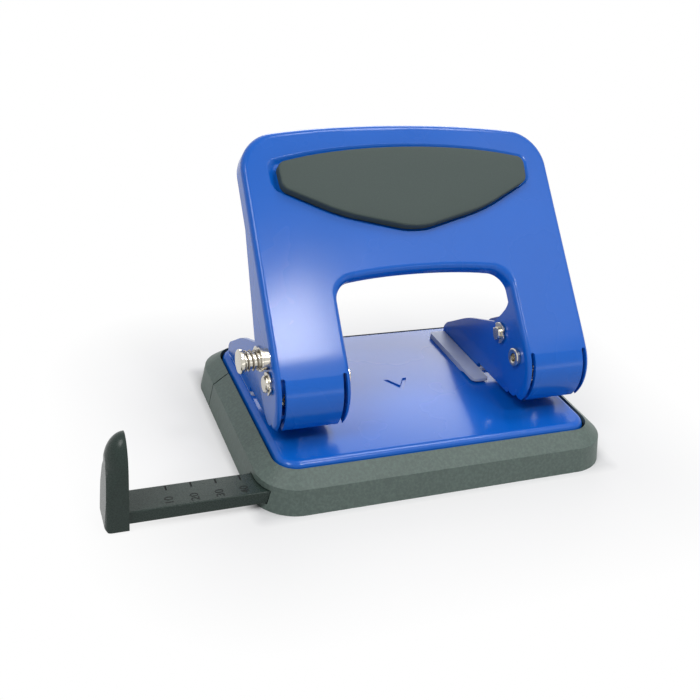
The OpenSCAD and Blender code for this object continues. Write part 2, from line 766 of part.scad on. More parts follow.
module handle() color(paint_blue) lever_frame() difference() {
    union() {
        lever_shell();
        both_sides() {
            along_x(leg_out - sheet_t, sheet_t) flange_outline([
                on_lobe(-30), [0.6 * lever_reach, -rim_depth], [0.6 * lever_reach, -bend_r]]);
            along_x(leg_in, sheet_t) flange_outline(concat(
                [on_lobe(-25)],
                corner_arc(on_lobe(-25), [0.6 * window_h, -1.55 * window_depth],
                    [0.95 * window_h, -window_depth], 0.43 * window_h, 8),
                [[0.6 * window_h, -window_depth], [0.6 * window_h, -bend_r]]));
            // Tongue, curled in about the pivot
            translate([leg_x - tongue_w / 2, 0, -tongue_r]) rotate([0, 90, 0]) rotate([0, 0, 180])
                rotate_extrude(angle = tongue_arc) translate([tongue_r - sheet_t, 0])
                    square([sheet_t, tongue_w]);
        }
    }
    translate([0, 0, -grip_sink]) linear_extrude(grip_sink + cut) offset_grip();
    both_sides() {
        translate([0, 0, -pivot_depth]) rod_x(leg_in - cut, leg_w + 2 * cut, pivot_r + run_fit);
        translate([0, drive_at.x, drive_at.y]) rod_x(leg_in - cut, leg_w + 2 * cut, drive_r + 0.02);
        // Round tops of the slits beside the tongue
        for (x = [leg_in + sheet_t + slit_w / 2, leg_out - sheet_t - slit_w / 2])
            translate([x, 0, -bend_r - 1]) cylinder(d = slit_w - 0.1, h = bend_r + 1 + cut);
    }
    translate([0, lock_at.x, lock_at.y]) rod_x(flange_x - cut, sheet_t + 2 * cut, lock_bush_r + 0.02);
}

// Recess of the grip pad, a little larger than the pad
module offset_grip() {
    middle = [0, grip_foot + grip_len / 2];
    translate(middle) scale(1.012) translate(-middle) grip_outline();
}

module grip_pad() color(rubber_dark) lever_frame()
    translate([0, 0, -grip_sink]) linear_extrude(grip_sink + grip_h) grip_outline();

module drive_pin() color(nickel) translate([0, pivot_y + drive_y, pivot_z + drive_z]) difference() {
    union() {
        rod_x(leg_in - pin_end, leg_w + pin_end + clip_play + pin_head_t, drive_r);
        rod_x(leg_out + clip_play, pin_head_t, drive_r + 1);
    }
    translate([leg_in - clip_x - clip_t, 0, 0]) rotate([0, 90, 0]) difference() {
        cylinder(r = drive_r + cut, h = clip_t);
        translate([0, 0, -cut]) cylinder(r = drive_r - groove_depth, h = clip_t + 2 * cut);
    }
}

module drive_pin_right() drive_pin();
module drive_pin_left() mirror([1, 0, 0]) drive_pin();

module drive_clips() color(nickel) both_sides()
    translate([0, pivot_y + drive_y, pivot_z + drive_z])
        clip(leg_in - clip_x - clip_t, drive_r - groove_depth);

module punch() color(zinc) translate([leg_x, punch_y, 0]) difference() {
    union() {
        translate([0, 0, punch_tip]) cylinder(r = punch_r, h = punch_top - punch_tip);
        translate([0, 0, punch_top - punch_head_h]) cylinder(r = punch_head_r, h = punch_head_h);
    }
    // Hollow-ground cutting edge
    translate([0, 0, punch_tip - punch_r]) rod_x(-punch_r - cut, 2 * punch_r + 2 * cut, 1.3 * punch_r);
}

module punch_right() punch();
module punch_left() mirror([1, 0, 0]) punch();

module punch_spring() color(nickel) {
    free = punch_top - punch_head_h - bush_top;
    route = spring_route(spring_r, spring_wire, free, spring_turns);
    echo(str("return spring, least gap to itself: ", spring_gap(route, spring_wire)));
    translate([leg_x, punch_y, bush_top]) wound_tube(route, spring_wire / 2);
}

module punch_spring_right() punch_spring();
module punch_spring_left() mirror([1, 0, 0]) punch_spring();

// Frame of the lock plunger: Z runs inward along its axis, from the outer face of the left leg
module lock_frame() {
    translate([flange_x, pivot_y + lock_y, pivot_z + lock_z]) rotate([0, 90, 0]) children();
}

lock_collar = lock_collar_x - flange_x;
lock_collar_t = 0.7;

module lock_bush() color(nickel) lock_frame() difference() {
    union() {
        translate([0, 0, lock_collar]) cylinder(r = lock_bush_r, h = sheet_t - lock_collar);
        translate([0, 0, lock_collar]) cylinder(r = lock_bush_r + 0.35, h = lock_collar_t);
    }
    translate([0, 0, lock_collar - cut]) cylinder(r = lock_r + run_fit, h = sheet_t - lock_collar + 2 * cut);
}

module lock_plunger() color(nickel) lock_frame() {
    head = lock_collar - lock_spring_len;
    stem_end = sheet_t + side_gap - lock_travel - 0.3;
    translate([0, 0, head - lock_head_t]) cylinder(r = lock_head_r, h = lock_head_t - 0.4);
    translate([0, 0, head - 0.4]) cylinder(r = lock_head_r - 0.4, h = 0.4);
    translate([0, 0, head - 0.4]) cylinder(r = lock_r, h = stem_end - head + 0.4);
    translate([0, 0, stem_end - 0.4]) cylinder(r = lock_tip_r, h = sheet_t - 0.1 - stem_end + 0.4);
}

module lock_spring() color(nickel) lock_frame() {
    route = spring_route(lock_r + 0.2 + lock_wire / 2, lock_wire, lock_spring_len, lock_turns);
    echo(str("lock spring, least gap to itself: ", spring_gap(route, lock_wire)));
    translate([0, 0, lock_collar - lock_spring_len]) wound_tube(route, lock_wire / 2);
}

module guide_bar() color(plastic_dark) {
    bar_mid = bar_front + bar_w / 2;
    stop_low = 0.6;
    tick_w = 0.5;
    tick_depth = 0.3;
    difference() {
        block([bar_left - 1, bar_front, bar_low], [-tray_w / 2 + bar_in, bar_front + bar_w, bar_low + bar_t]);
        // Plain ticks across the bar, with a longer one every fifth
        for (k = [1:11]) {
            long = k % 5 == 0 ? 5 : 2.6;
            translate([bar_left + 4 + 7 * k, bar_front + bar_w - long, bar_low + bar_t - tick_depth])
                cube([tick_w, long + cut, tick_depth + cut]);
        }
    }
    // Stop: flat towards the paper, its outer face leaning in, its top drawn in to a dome
    stop_top = stop_low + stop_h;
    dome_r = 0.89 * stop_t;
    dome_h = 1.42 * stop_t;
    shoulder = stop_top - dome_h;
    translate([bar_left, bar_mid, 0]) intersection() {
        linear_extrude(stop_top)
            polygon(rounded([[0, -stop_w / 2, 0], [0, stop_w / 2, 0], [-stop_t, stop_w / 2, 0.3 * stop_t],
                [-stop_t, -stop_w / 2, 0.3 * stop_t]]));
        translate([0, stop_w / 2, 0]) rotate([90, 0, 0]) linear_extrude(stop_w)
            polygon([[0, stop_low], [0, stop_top], [-0.84 * stop_t, stop_top], [-0.84 * stop_t, shoulder],
                [-stop_t, stop_low + 1], [-stop_t + 0.8, stop_low]]);
        rotate_extrude()
            polygon(concat(
                [[0, 0], [0.75 * stop_w, 0], [0.68 * stop_w, 0.55 * shoulder],
                    [0.58 * stop_w, 0.85 * shoulder]],
                [for (a = [0:10:80]) [dome_r * cos(a), shoulder + dome_h * sin(a)]],
                [[0, stop_top]]));
    }
}

// Leaf spring under the plate that rests on the bar and holds it by friction
module guide_leaf() color(zinc) {
    leaf_w = bar_w / 2;
    low = bar_low + bar_t + 0.1;
    high = plate_low;
    start = leaf_len / 10 - plate_hx + plate_edge;
    bend = start + 0.4 * leaf_len;
    sole = start + 0.7 * leaf_len;
    end = start + leaf_len;
    translate([0, bar_front + bar_w - 0.3, 0]) rotate([90, 0, 0]) linear_extrude(leaf_w)
        polygon([[start, high], [bend, high], [sole, low + leaf_t], [end, low + leaf_t],
            [end, low], [sole - leaf_t / 2, low], [bend - leaf_t / 2, high - leaf_t],
            [start, high - leaf_t]]);
}

base_tray();
chip_drawer();
anti_slip_pads();
base_plate();
weld_bosses();
base_screws();
foot_plate_left();
foot_plate_right();
bracket_left();
bracket_right();
bracket_rivets();
guide_bush_left();
guide_bush_right();
pivot_pin_left();
pivot_pin_right();
pivot_clips();
handle();
grip_pad();
drive_pin_left();
drive_pin_right();
drive_clips();
punch_left();
punch_right();
punch_spring_left();
punch_spring_right();
lock_bush();
lock_plunger();
lock_spring();
guide_bar();
guide_leaf();
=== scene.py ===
"""Looks of a two-hole desk punch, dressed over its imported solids.

Lengths are in metres and in the frame of the solids: X to the right, Y to the rear, Z up, with
the origin in the middle of the tray's underside.
"""

import logging
import math
from collections.abc import Iterable, Mapping, Sequence
from dataclasses import dataclass, field
from enum import Enum
from typing import Any, Union

import bmesh
import bpy
from bmesh.types import BMEdge, BMesh, BMFace, BMVert
from mathutils import Matrix, Vector


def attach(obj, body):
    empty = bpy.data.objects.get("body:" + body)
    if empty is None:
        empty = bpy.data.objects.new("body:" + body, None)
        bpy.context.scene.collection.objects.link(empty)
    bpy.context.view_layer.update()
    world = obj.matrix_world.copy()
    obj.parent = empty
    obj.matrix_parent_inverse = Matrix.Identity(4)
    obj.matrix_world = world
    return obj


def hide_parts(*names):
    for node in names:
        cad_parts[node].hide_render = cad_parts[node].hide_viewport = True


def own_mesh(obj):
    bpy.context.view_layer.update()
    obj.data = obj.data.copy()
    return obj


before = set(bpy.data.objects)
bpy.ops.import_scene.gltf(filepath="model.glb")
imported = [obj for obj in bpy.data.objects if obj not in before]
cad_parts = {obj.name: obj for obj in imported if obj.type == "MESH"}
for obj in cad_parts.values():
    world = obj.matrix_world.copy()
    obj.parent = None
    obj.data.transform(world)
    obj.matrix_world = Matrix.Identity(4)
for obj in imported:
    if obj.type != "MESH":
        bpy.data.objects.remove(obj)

LOG = logging.getLogger("desk_punch")
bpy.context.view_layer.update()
MM = 0.001
NEAR = 1e-6
WELD = 1e-7
Point = tuple[float, float]
Corner = tuple[float, float, float]
Tint = tuple[float, float, float]
Colour = tuple[float, float, float, float]
Piece = bpy.types.Object
WHITE: Colour = (1.0, 1.0, 1.0, 1.0)


class Body(Enum):
    """Moving groups of the punch, by the names that their empties carry."""

    BASE = "base"
    LEVER = "lever"
    LEFT_PUNCH = "left_punch"
    RIGHT_PUNCH = "right_punch"
    LOCK = "lock"
    GUIDE = "guide"
    DRAWER = "drawer"


class Cut(Enum):
    """What a cutter does to a piece."""

    AWAY = "DIFFERENCE"
    KEEP = "INTERSECT"
    JOIN = "UNION"


class Side(Enum):
    """The two legs, with the sign of their X."""

    LEFT = -1
    RIGHT = 1

    @property
    def word(self) -> str:
        """Name of the side as the nodes spell it."""
        return self.name.lower()


# Shader maths


class Value:
    """A socket that takes part in Python arithmetic, one Math node for each operation."""

    def __init__(self, sheet: "NodeSheet", socket: bpy.types.NodeSocket) -> None:
        """Wraps one output socket of a node sheet."""
        self.sheet = sheet
        self.socket = socket

    def _math(self, operation: str, first: "Number", second: "Number") -> "Value":
        """Adds one Math node.

        Args:
            operation: Blender's name of the operation.
            first: Left operand.
            second: Right operand.

        Returns:
            The node's result.
        """
        return self.sheet.add("ShaderNodeMath", {"operation": operation}, {0: first, 1: second})

    def __add__(self, other: "Number") -> "Value":
        """Sum."""
        return self._math("ADD", self, other)

    def __radd__(self, other: "Number") -> "Value":
        """Sum with a plain number on the left."""
        return self._math("ADD", other, self)

    def __sub__(self, other: "Number") -> "Value":
        """Difference."""
        return self._math("SUBTRACT", self, other)

    def __rsub__(self, other: "Number") -> "Value":
        """Difference from a plain number."""
        return self._math("SUBTRACT", other, self)

    def __mul__(self, other: "Number") -> "Value":
        """Product."""
        return self._math("MULTIPLY", self, other)

    def __rmul__(self, other: "Number") -> "Value":
        """Product with a plain number on the left."""
        return self._math("MULTIPLY", other, self)

    def at_most(self, other: "Number") -> "Value":
        """The smaller of the two."""
        return self._math("MINIMUM", self, other)


Number = Union[Value, float]


class NodeSheet:
    """A node tree that is being written."""

    def __init__(self, tree: bpy.types.NodeTree) -> None:
        """Empties the tree."""
        self.tree = tree
        tree.nodes.clear()

    def add(
        self,
        kind: str,
        settings: Mapping[str, Any] | None = None,
        inputs: Mapping[int | str, Any] | None = None,
        output: int | str = 0,
    ) -> Value:
        """Adds one node.

        Args:
            kind: Blender's type of the node.
            settings: Attributes that are set first; "stops" are a ramp's places and colours.
            inputs: Values, or links from other nodes, by socket name or number.
            output: The output that is handed on.

        Returns:
            That output.
        """
        node = self.tree.nodes.new(kind)
        for name, setting in (settings or {}).items():
            if name == "stops":
                self._set_stops(node.color_ramp, setting)
            else:
                setattr(node, name, setting)
        for key, value in (inputs or {}).items():
            if isinstance(value, Value):
                self.tree.links.new(value.socket, node.inputs[key])
            else:
                node.inputs[key].default_value = value
        return Value(self, node.outputs[output] if node.outputs else None)

    @staticmethod
    def _set_stops(ramp: bpy.types.ColorRamp, stops: Sequence[Point]) -> None:
        """Sets a grey ramp.

        Args:
            ramp: The ramp, with its two first stops.
            stops: Place and brightness of each stop.
        """
        while len(ramp.elements) < len(stops):
            ramp.elements.new(1.0)
        for element, (place, grey) in zip(ramp.elements, stops):
            element.position = place
            element.color = (grey, grey, grey, 1.0)

    def object_coordinates(self, stretch: Corner = (1.0, 1.0, 1.0)) -> Value:
        """Object coordinates, stretched for a pattern with a grain.

        Args:
            stretch: Scale of the pattern along X, Y and Z.

        Returns:
            The coordinates.
        """
        place = self.add("ShaderNodeTexCoord", output="Object")
        if stretch == (1.0, 1.0, 1.0):
            return place
        return self.add("ShaderNodeMapping", {}, {"Vector": place, "Scale": stretch})

    def noise(self, place: Value, scale: float, detail: float = 2.0, roughness: float = 0.5) -> Value:
        """Noise between about 0.3 and 0.7.

        Args:
            place: Coordinates.
            scale: Cycles in a metre.
            detail: Octaves.
            roughness: Weight of the finer octaves.

        Returns:
            The noise.
        """
        inputs = {"Vector": place, "Scale": scale, "Detail": detail, "Roughness": roughness}
        return self.add("ShaderNodeTexNoise", {}, inputs)

    def ramp(self, value: Value, stops: Sequence[Point]) -> Value:
        """A value read through a grey ramp.

        Args:
            value: The value.
            stops: Place and brightness of each stop.

        Returns:
            The brightness.
        """
        return self.add("ShaderNodeValToRGB", {"stops": stops}, {0: value})

    def mix(self, share: Number, first: Any, second: Any) -> Value:
        """Colour between two colours.

        Args:
            share: Share of the second colour.
            first: First colour.
            second: Second colour.

        Returns:
            The mixed colour.
        """
        return self.add("ShaderNodeMix", {"data_type": "RGBA"}, {0: share, 6: first, 7: second}, output=2)

    def bump(self, height: Value, strength: float, depth: float) -> Value:
        """Normal of a fine relief.

        Args:
            height: Relief between 0 and 1.
            strength: How much of it shows.
            depth: Its depth in metres.

        Returns:
            The normal.
        """
        return self.add("ShaderNodeBump", {}, {"Strength": strength, "Distance": depth, "Height": height})

    def principled(self, inputs: Mapping[str, Any]) -> Value:
        """The surface shader of every finish, with its inputs by socket name."""
        return self.add("ShaderNodeBsdfPrincipled", {}, inputs)


# Finishes

LACQUER_IOR = 1.5


def opaque(tint: Tint) -> Colour:
    """A tint as a colour socket takes it."""
    return (*tint, 1.0)


def shaded(tint: Tint, factor: float) -> Colour:
    """A tint made lighter or darker, as a colour socket takes it."""
    return opaque(tuple(min(1.0, channel * factor) for channel in tint))


@dataclass(frozen=True)
class Finish:
    """What all the finishes share: a name, the record's slot, a colour and a gloss."""

    name: str
    slot: str
    tint: Tint
    roughness: float

    def material(self) -> bpy.types.Material:
        """The finish's material, made once.

        Returns:
            The material.
        """
        made = bpy.data.materials.get(self.name)
        if made is None:
            made = bpy.data.materials.new(self.name)
            made.use_nodes = True
            sheet = NodeSheet(made.node_tree)
            shader = self.shader(sheet)
            sheet.add("ShaderNodeOutputMaterial", {}, {"Surface": shader})
        return made

    def shader(self, sheet: NodeSheet) -> Value:
        """Writes the finish's nodes.

        Args:
            sheet: The material's sheet.

        Returns:
            The surface shader.
        """
        raise NotImplementedError


@dataclass(frozen=True)
class SprayedPaint(Finish):
    """Gloss paint sprayed on steel, with a faint orange peel. Patterns are in cycles in a metre."""

    clouds: float = 38.0
    cloud_depth: float = 0.06
    flecks: float = 5200.0
    fleck_share: float = 0.12
    peel: float = 620.0
    peel_strength: float = 0.10
    peel_depth: float = 0.12 * MM
    coat: float = 0.40
    coat_roughness: float = 0.15
    shine: float = 0.12

    def shader(self, sheet: NodeSheet) -> Value:
        """Writes the paint's nodes.

        Args:
            sheet: The material's sheet.

        Returns:
            The surface shader.
        """
        place = sheet.object_coordinates()
        cloud = sheet.noise(place, self.clouds, 3.0)
        fleck = sheet.ramp(sheet.noise(place, self.flecks, 1.0), [(0.35, 0.0), (0.75, 1.0)])
        dark, light = (shaded(self.tint, 1.0 + sign * self.cloud_depth) for sign in (-1.0, 1.0))
        colour = sheet.mix(cloud, dark, light)
        colour = sheet.mix(fleck * self.fleck_share, colour, shaded(self.tint, 1.5))
        peel = sheet.noise(place, self.peel, 2.0, 0.45)
        return sheet.principled(
            {
                "Base Color": colour,
                "Roughness": self.roughness + (cloud - 0.5) * 0.10,
                "Normal": sheet.bump(peel, self.peel_strength, self.peel_depth),
                "Coat Weight": self.coat,
                "Coat Roughness": self.coat_roughness,
                "Coat IOR": LACQUER_IOR,
                "IOR": LACQUER_IOR,
                "Specular IOR Level": self.shine,
            }
        )


@dataclass(frozen=True)
class GrainedMoulding(Finish):
    """Plastic or rubber from a mould with a fine grain, its high points drawn lighter in the colour as
    painted glints. Patterns are in cycles in a metre.
    """

    grain: float = 1500.0
    relief: float = 0.5
    mottle: float = 0.10
    shine: float = 0.5
    # Painted glints: how much lighter the grain's high points are drawn.
    painted_glint: float = 0.35
    clouds: float = 24.0
    scuffs: float = 160.0
    scuff_stretch: Corner = (1.0, 5.0, 3.0)
    pit_depth: float = 0.10 * MM

    def shader(self, sheet: NodeSheet) -> Value:
        """Writes the moulding's nodes.

        Args:
            sheet: The material's sheet.

        Returns:
            The surface shader.
        """
        place = sheet.object_coordinates()
        cloud = sheet.noise(place, self.clouds, 4.0, 0.6)
        pits = sheet.noise(place, self.grain, 3.0, 0.65)
        rubbed = sheet.noise(sheet.object_coordinates(self.scuff_stretch), self.scuffs, 5.0, 0.7)
        scuff = sheet.ramp(rubbed, [(0.58, 0.0), (0.78, 1.0)])
        dark, light = (shaded(self.tint, 1.0 + sign * self.mottle) for sign in (-1.0, 1.0))
        colour = sheet.mix(cloud, dark, light)
        # Painted glints: where the grain's bump rises, the colour is drawn lighter, as if those points caught
        # the light.
        glint_mask = sheet.ramp(pits, [(0.42, 0.0), (0.66, 1.0)])
        colour = sheet.mix(glint_mask * 0.5, colour, shaded(self.tint, 1.0 + self.painted_glint))
        return sheet.principled(
            {
                "Base Color": colour,
                "Roughness": self.roughness + (pits - 0.5) * 0.22 - scuff * 0.08,
                "Normal": sheet.bump(pits, self.relief, self.pit_depth),
                "IOR": LACQUER_IOR,
                "Specular IOR Level": self.shine,
            }
        )


@dataclass(frozen=True)
class WorkedMetal(Finish):
    """Bare or plated steel with the fine lines of its making. Patterns are in cycles in a metre."""

    lines: Corner = (1.0, 1.0, 1.0)
    metal: float = 1.0
    scratches: float = 900.0
    scratch_strength: float = 0.12
    scratch_depth: float = 0.03 * MM
    tarnish: float = 130.0

    def shader(self, sheet: NodeSheet) -> Value:
        """Writes the metal's nodes.

        Args:
            sheet: The material's sheet.

        Returns:
            The surface shader.
        """
        scratch = sheet.noise(sheet.object_coordinates(self.lines), self.scratches, 4.0, 0.7)
        tarnish = sheet.noise(sheet.object_coordinates(), self.tarnish, 3.0)
        colour = sheet.mix(tarnish, shaded(self.tint, 0.80), shaded(self.tint, 1.12))
        return sheet.principled(
            {
                "Base Color": colour,
                "Metallic": self.metal,
                "Roughness": self.roughness + (scratch - 0.5) * 0.22 + (tarnish - 0.5) * 0.10,
                "Normal": sheet.bump(scratch, self.scratch_strength, self.scratch_depth),
            }
        )


ALONG_X = (0.06, 1.0, 1.0)
BLUE_PAINT = SprayedPaint("gloss_blue_paint", "blue_paint", (0.002, 0.104, 0.50), 0.27)
TRAY_PLASTIC = GrainedMoulding(
    "charcoal_tray_plastic", "dark_plastic", (0.076, 0.106, 0.094), 0.50,
    # The grain's high points are drawn lighter as painted glints.
    grain=1050.0, relief=1.0, mottle=0.16, shine=0.4, painted_glint=0.7,
)
GUIDE_PLASTIC = GrainedMoulding(
    "black_guide_plastic", "dark_plastic", (0.020, 0.033, 0.028), 0.28,
    grain=2600.0, relief=0.2, mottle=0.1, shine=0.24,
)
GRIP_RUBBER = GrainedMoulding(
    "matt_grip_rubber", "grip_rubber", (0.042, 0.060, 0.055), 0.62,
    grain=3200.0, relief=0.35, mottle=0.05, shine=0.35,
)
PAD_RUBBER = GrainedMoulding(
    "soft_pad_rubber", "grip_rubber", (0.040, 0.045, 0.045), 0.75, grain=1200.0, relief=0.5
)
# Painted shade: near-black for the tick fills and numbers, standing in for the shade in engraved marks.
MARK_SHADE = GrainedMoulding(
    "painted_mark_shade", "dark_plastic", (0.006, 0.007, 0.007), 0.6,
    grain=3000.0, relief=0.1, mottle=0.1, shine=0.2,
)
NICKEL = WorkedMetal("bright_nickel", "nickel_steel", (0.60, 0.57, 0.50), 0.20, lines=(1.0, 0.12, 0.12))
ZINC = WorkedMetal("satin_zinc", "zinc_steel", (0.42, 0.45, 0.54), 0.50, lines=ALONG_X, metal=0.4)
DULL_ZINC = WorkedMetal("dull_zinc_plate", "zinc_steel", (0.47, 0.51, 0.62), 0.55, lines=ALONG_X, metal=0.12)
GROUND_STEEL = WorkedMetal(
    "ground_tool_steel", "tool_steel", (0.42, 0.42, 0.45), 0.26, lines=(1.0, 1.0, 0.08)
)
SPRING_WIRE = WorkedMetal(
    "drawn_spring_wire", "nickel_steel", (0.30, 0.27, 0.22), 0.25, lines=(1.0, 1.0, 0.3)
)


# Workshop


class Workshop:
    """Makes meshes from bmesh operators and puts finished pieces on their moving bodies."""

    SMOOTH = math.radians(32.0)
    EASED = math.radians(38.0)
    CUT_FLAT = math.radians(0.25)
    NODE_FLAT = math.radians(0.6)
    FLAT_WEIGHT = 80

    @staticmethod
    def shift(bm: BMesh, geom: Iterable[Any], step: Corner | Vector) -> None:
        """Moves the points among some geometry."""
        bmesh.ops.translate(bm, vec=step, verts=[g for g in geom if isinstance(g, BMVert)])

    @staticmethod
    def drill(bm: BMesh, radius: float, length: float, place: Matrix, segments: int = 40) -> None:
        """Adds a closed cylinder, as the cutter of a hole.

        Args:
            bm: The mesh.
            radius: The hole's radius.
            length: The cutter's length.
            place: Takes the cutter's own frame, centred and along Z, to the mesh's.
            segments: Flats round the hole.
        """
        bmesh.ops.create_cone(
            bm, cap_ends=True, segments=segments, radius1=radius, radius2=radius, depth=length, matrix=place
        )

    @staticmethod
    def block(bm: BMesh, middle: Corner | Vector, size: Corner | Vector) -> None:
        """Adds a box about its middle."""
        place = Matrix.Translation(middle) @ Matrix.Diagonal((*size, 1.0))
        bmesh.ops.create_cube(bm, size=1.0, matrix=place)

    @staticmethod
    def face_up(bm: BMesh) -> None:
        """Turns a sheet's normals alike, with the largest face's up.

        Args:
            bm: The mesh.
        """
        bmesh.ops.recalc_face_normals(bm, faces=bm.faces[:])
        if max(bm.faces, key=lambda f: f.calc_area()).normal.z < 0.0:
            bmesh.ops.reverse_faces(bm, faces=bm.faces[:])

    @staticmethod
    def rounded_face(bm: BMesh, corners: Sequence[Corner], segments: int = 8) -> BMFace:
        """A flat face with round corners.

        Args:
            bm: The mesh.
            corners: X, Y and corner radius of each corner, counter-clockwise.
            segments: Steps in each round corner.

        Returns:
            The face.
        """
        count = len(corners)
        before_all = set(bm.faces)
        points = [Vector((x, y, 0.0)) for x, y, _ in corners]
        ring = [bm.verts.new(p) for p in points]
        bm.faces.new(ring)
        for i, (_, _, radius) in enumerate(corners):
            if radius <= 0.0:
                continue
            before, after = points[i - 1] - points[i], points[(i + 1) % count] - points[i]
            reach = radius / math.tan(before.angle(after) / 2.0)
            bmesh.ops.bevel(
                bm,
                geom=[ring[i]],
                offset=reach,
                offset_type="OFFSET",
                segments=segments,
                profile=0.5,
                affect="VERTICES",
                clamp_overlap=False,
                material=-1,
            )
        return next(face for face in bm.faces if face not in before_all)

    @staticmethod
    def round_edges(bm: BMesh, edges: Iterable[BMEdge], radius: float, segments: int = 3) -> None:
        """Rounds edges.

        Args:
            bm: The mesh.
            edges: The edges.
            radius: How far the round reaches.
            segments: Its steps.
        """
        bmesh.ops.bevel(
            bm,
            geom=list(edges),
            offset=radius,
            offset_type="OFFSET",
            segments=segments,
            profile=0.5,
            affect="EDGES",
            clamp_overlap=False,
            loop_slide=True,
            material=-1,
        )

    @staticmethod
    def sharp_edges(bm: BMesh, angle: float) -> list[BMEdge]:
        """Edges between two faces that turn by more than an angle.

        Args:
            bm: The mesh.
            angle: The least turn in radians.

        Returns:
            The edges.
        """
        return [e for e in bm.edges if len(e.link_faces) == 2 and e.calc_face_angle(0.0) > angle]

    @staticmethod
    def raise_face(bm: BMesh, face: BMFace, step: Vector) -> BMFace:
        """Draws a face out into a closed block.

        Args:
            bm: The mesh.
            face: The face, which stays as the block's foot if it stands alone.
            step: How far and where to.

        Returns:
            The new face at the far end.
        """
        joined = any(len(e.link_faces) > 1 for e in face.edges)
        made = bmesh.ops.extrude_face_region(bm, geom=[face])["geom"]
        Workshop.shift(bm, made, step)
        if joined:
            bmesh.ops.delete(bm, geom=[face], context="FACES_ONLY")
        return next(g for g in made if isinstance(g, BMFace))

    @staticmethod
    def revolve(
        bm: BMesh, outline: Sequence[Vector], centre: Vector, axis: Corner, steps: int, closed: bool = False
    ) -> None:
        """Turns an outline once round an axis.

        Args:
            bm: The mesh.
            outline: The outline's points.
            centre: A point on the axis.
            axis: The axis.
            steps: Flats round the piece.
            closed: Whether the outline meets itself, and doesn't end on the axis.
        """
        points = [bm.verts.new(point) for point in outline]
        ring = points + points[:1] if closed else points
        edges = [bm.edges.new(pair) for pair in zip(ring, ring[1:])]
        bmesh.ops.spin(
            bm, geom=points + edges, cent=centre, axis=axis, angle=math.tau, steps=steps, use_merge=True
        )
        bmesh.ops.remove_doubles(bm, verts=bm.verts[:], dist=WELD)
        bmesh.ops.recalc_face_normals(bm, faces=bm.faces[:])

    @staticmethod
    def mesh_object(bm: BMesh, name: str) -> Piece:
        """Turns a bmesh into an object at the origin.

        Args:
            bm: The mesh, which is freed.
            name: The object's name.

        Returns:
            The object.
        """
        mesh = bpy.data.meshes.new(name)
        bm.to_mesh(mesh)
        bm.free()
        made = bpy.data.objects.new(name, mesh)
        bpy.context.scene.collection.objects.link(made)
        return made

    @staticmethod
    def settle(piece: Piece) -> None:
        """Applies a piece's modifiers to its mesh.

        Args:
            piece: The piece.
        """
        bpy.context.view_layer.update()
        shape = piece.evaluated_get(bpy.context.evaluated_depsgraph_get())
        mesh = bpy.data.meshes.new_from_object(shape)
        piece.modifiers.clear()
        piece.data = mesh

    @classmethod
    def carve(cls, piece: Piece, cutter: BMesh, cut: Cut) -> None:
        """Carves a piece with a closed mesh.

        Args:
            piece: The piece.
            cutter: The closed mesh; it is freed.
            cut: Whether the mesh is taken away or joined on, or what lies in it is kept.
        """
        bmesh.ops.recalc_face_normals(cutter, faces=cutter.faces[:])
        tool = cls.mesh_object(cutter, piece.name + "_cutter")
        carving = piece.modifiers.new("carving", "BOOLEAN")
        carving.operation = cut.value
        carving.solver = "EXACT"
        carving.use_self = True
        carving.object = tool
        cls.settle(piece)
        bpy.data.objects.remove(tool)
        bm = cls.joined_flats(piece.data, cls.CUT_FLAT)
        bm.to_mesh(piece.data)
        bm.free()

    @staticmethod
    def joined_flats(mesh: bpy.types.Mesh, angle: float) -> BMesh:
        """A mesh without doubled points and without slivers in its flat faces.

        Args:
            mesh: The mesh as it is.
            angle: The most that joined faces may turn, in radians.

        Returns:
            The joined mesh.
        """
        bm = bmesh.new()
        bm.from_mesh(mesh)
        bmesh.ops.remove_doubles(bm, verts=bm.verts[:], dist=2.0 * NEAR)
        bmesh.ops.dissolve_limit(bm, angle_limit=angle, verts=bm.verts[:], edges=bm.edges[:])
        return bm

    @classmethod
    def thicken(cls, piece: Piece, thickness: float) -> None:
        """Gives a sheet its thickness on the side away from its normals.

        Args:
            piece: The sheet.
            thickness: Its thickness.
        """
        wall = piece.modifiers.new("sheet", "SOLIDIFY")
        wall.thickness = thickness
        wall.offset = -1.0
        wall.use_even_offset = True
        wall.use_quality_normals = True
        cls.settle(piece)

    @classmethod
    def ease_edges(cls, piece: Piece, radius: float, segments: int = 2) -> None:
        """Breaks a piece's sharp edges.

        Args:
            piece: The piece.
            radius: Reach of the round.
            segments: Its steps.
        """
        ease = piece.modifiers.new("eased", "BEVEL")
        ease.width = radius
        ease.segments = segments
        ease.limit_method = "ANGLE"
        ease.angle_limit = cls.EASED
        ease.use_clamp_overlap = True
        ease.profile = 0.5
        cls.settle(piece)

    @classmethod
    def hand_over(cls, piece: Piece, finish: Finish, body: Body, nodes: Sequence[str] = ()) -> Piece:
        """Shades a piece, gives it its finish and puts it on its body.

        Args:
            piece: The finished piece.
            finish: Its finish.
            body: The body that it moves with.
            nodes: The nodes that it stands for.

        Returns:
            The piece.
        """
        mesh = piece.data
        mesh.materials.clear()
        mesh.materials.append(finish.material())
        mesh.polygons.foreach_set("material_index", [0] * len(mesh.polygons))
        mesh.polygons.foreach_set("use_smooth", [True] * len(mesh.polygons))
        mesh.set_sharp_from_angle(angle=cls.SMOOTH)
        weighted = piece.modifiers.new("flat_faces_stay_flat", "WEIGHTED_NORMAL")
        weighted.keep_sharp = True
        weighted.weight = cls.FLAT_WEIGHT
        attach(piece, body.value)
        if nodes:
            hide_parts(*nodes)
        stands_for = ", ".join(nodes) or "-"
        LOG.info("%s: %d faces, on %s, for %s", piece.name, len(mesh.polygons), body.value, stands_for)
        return piece

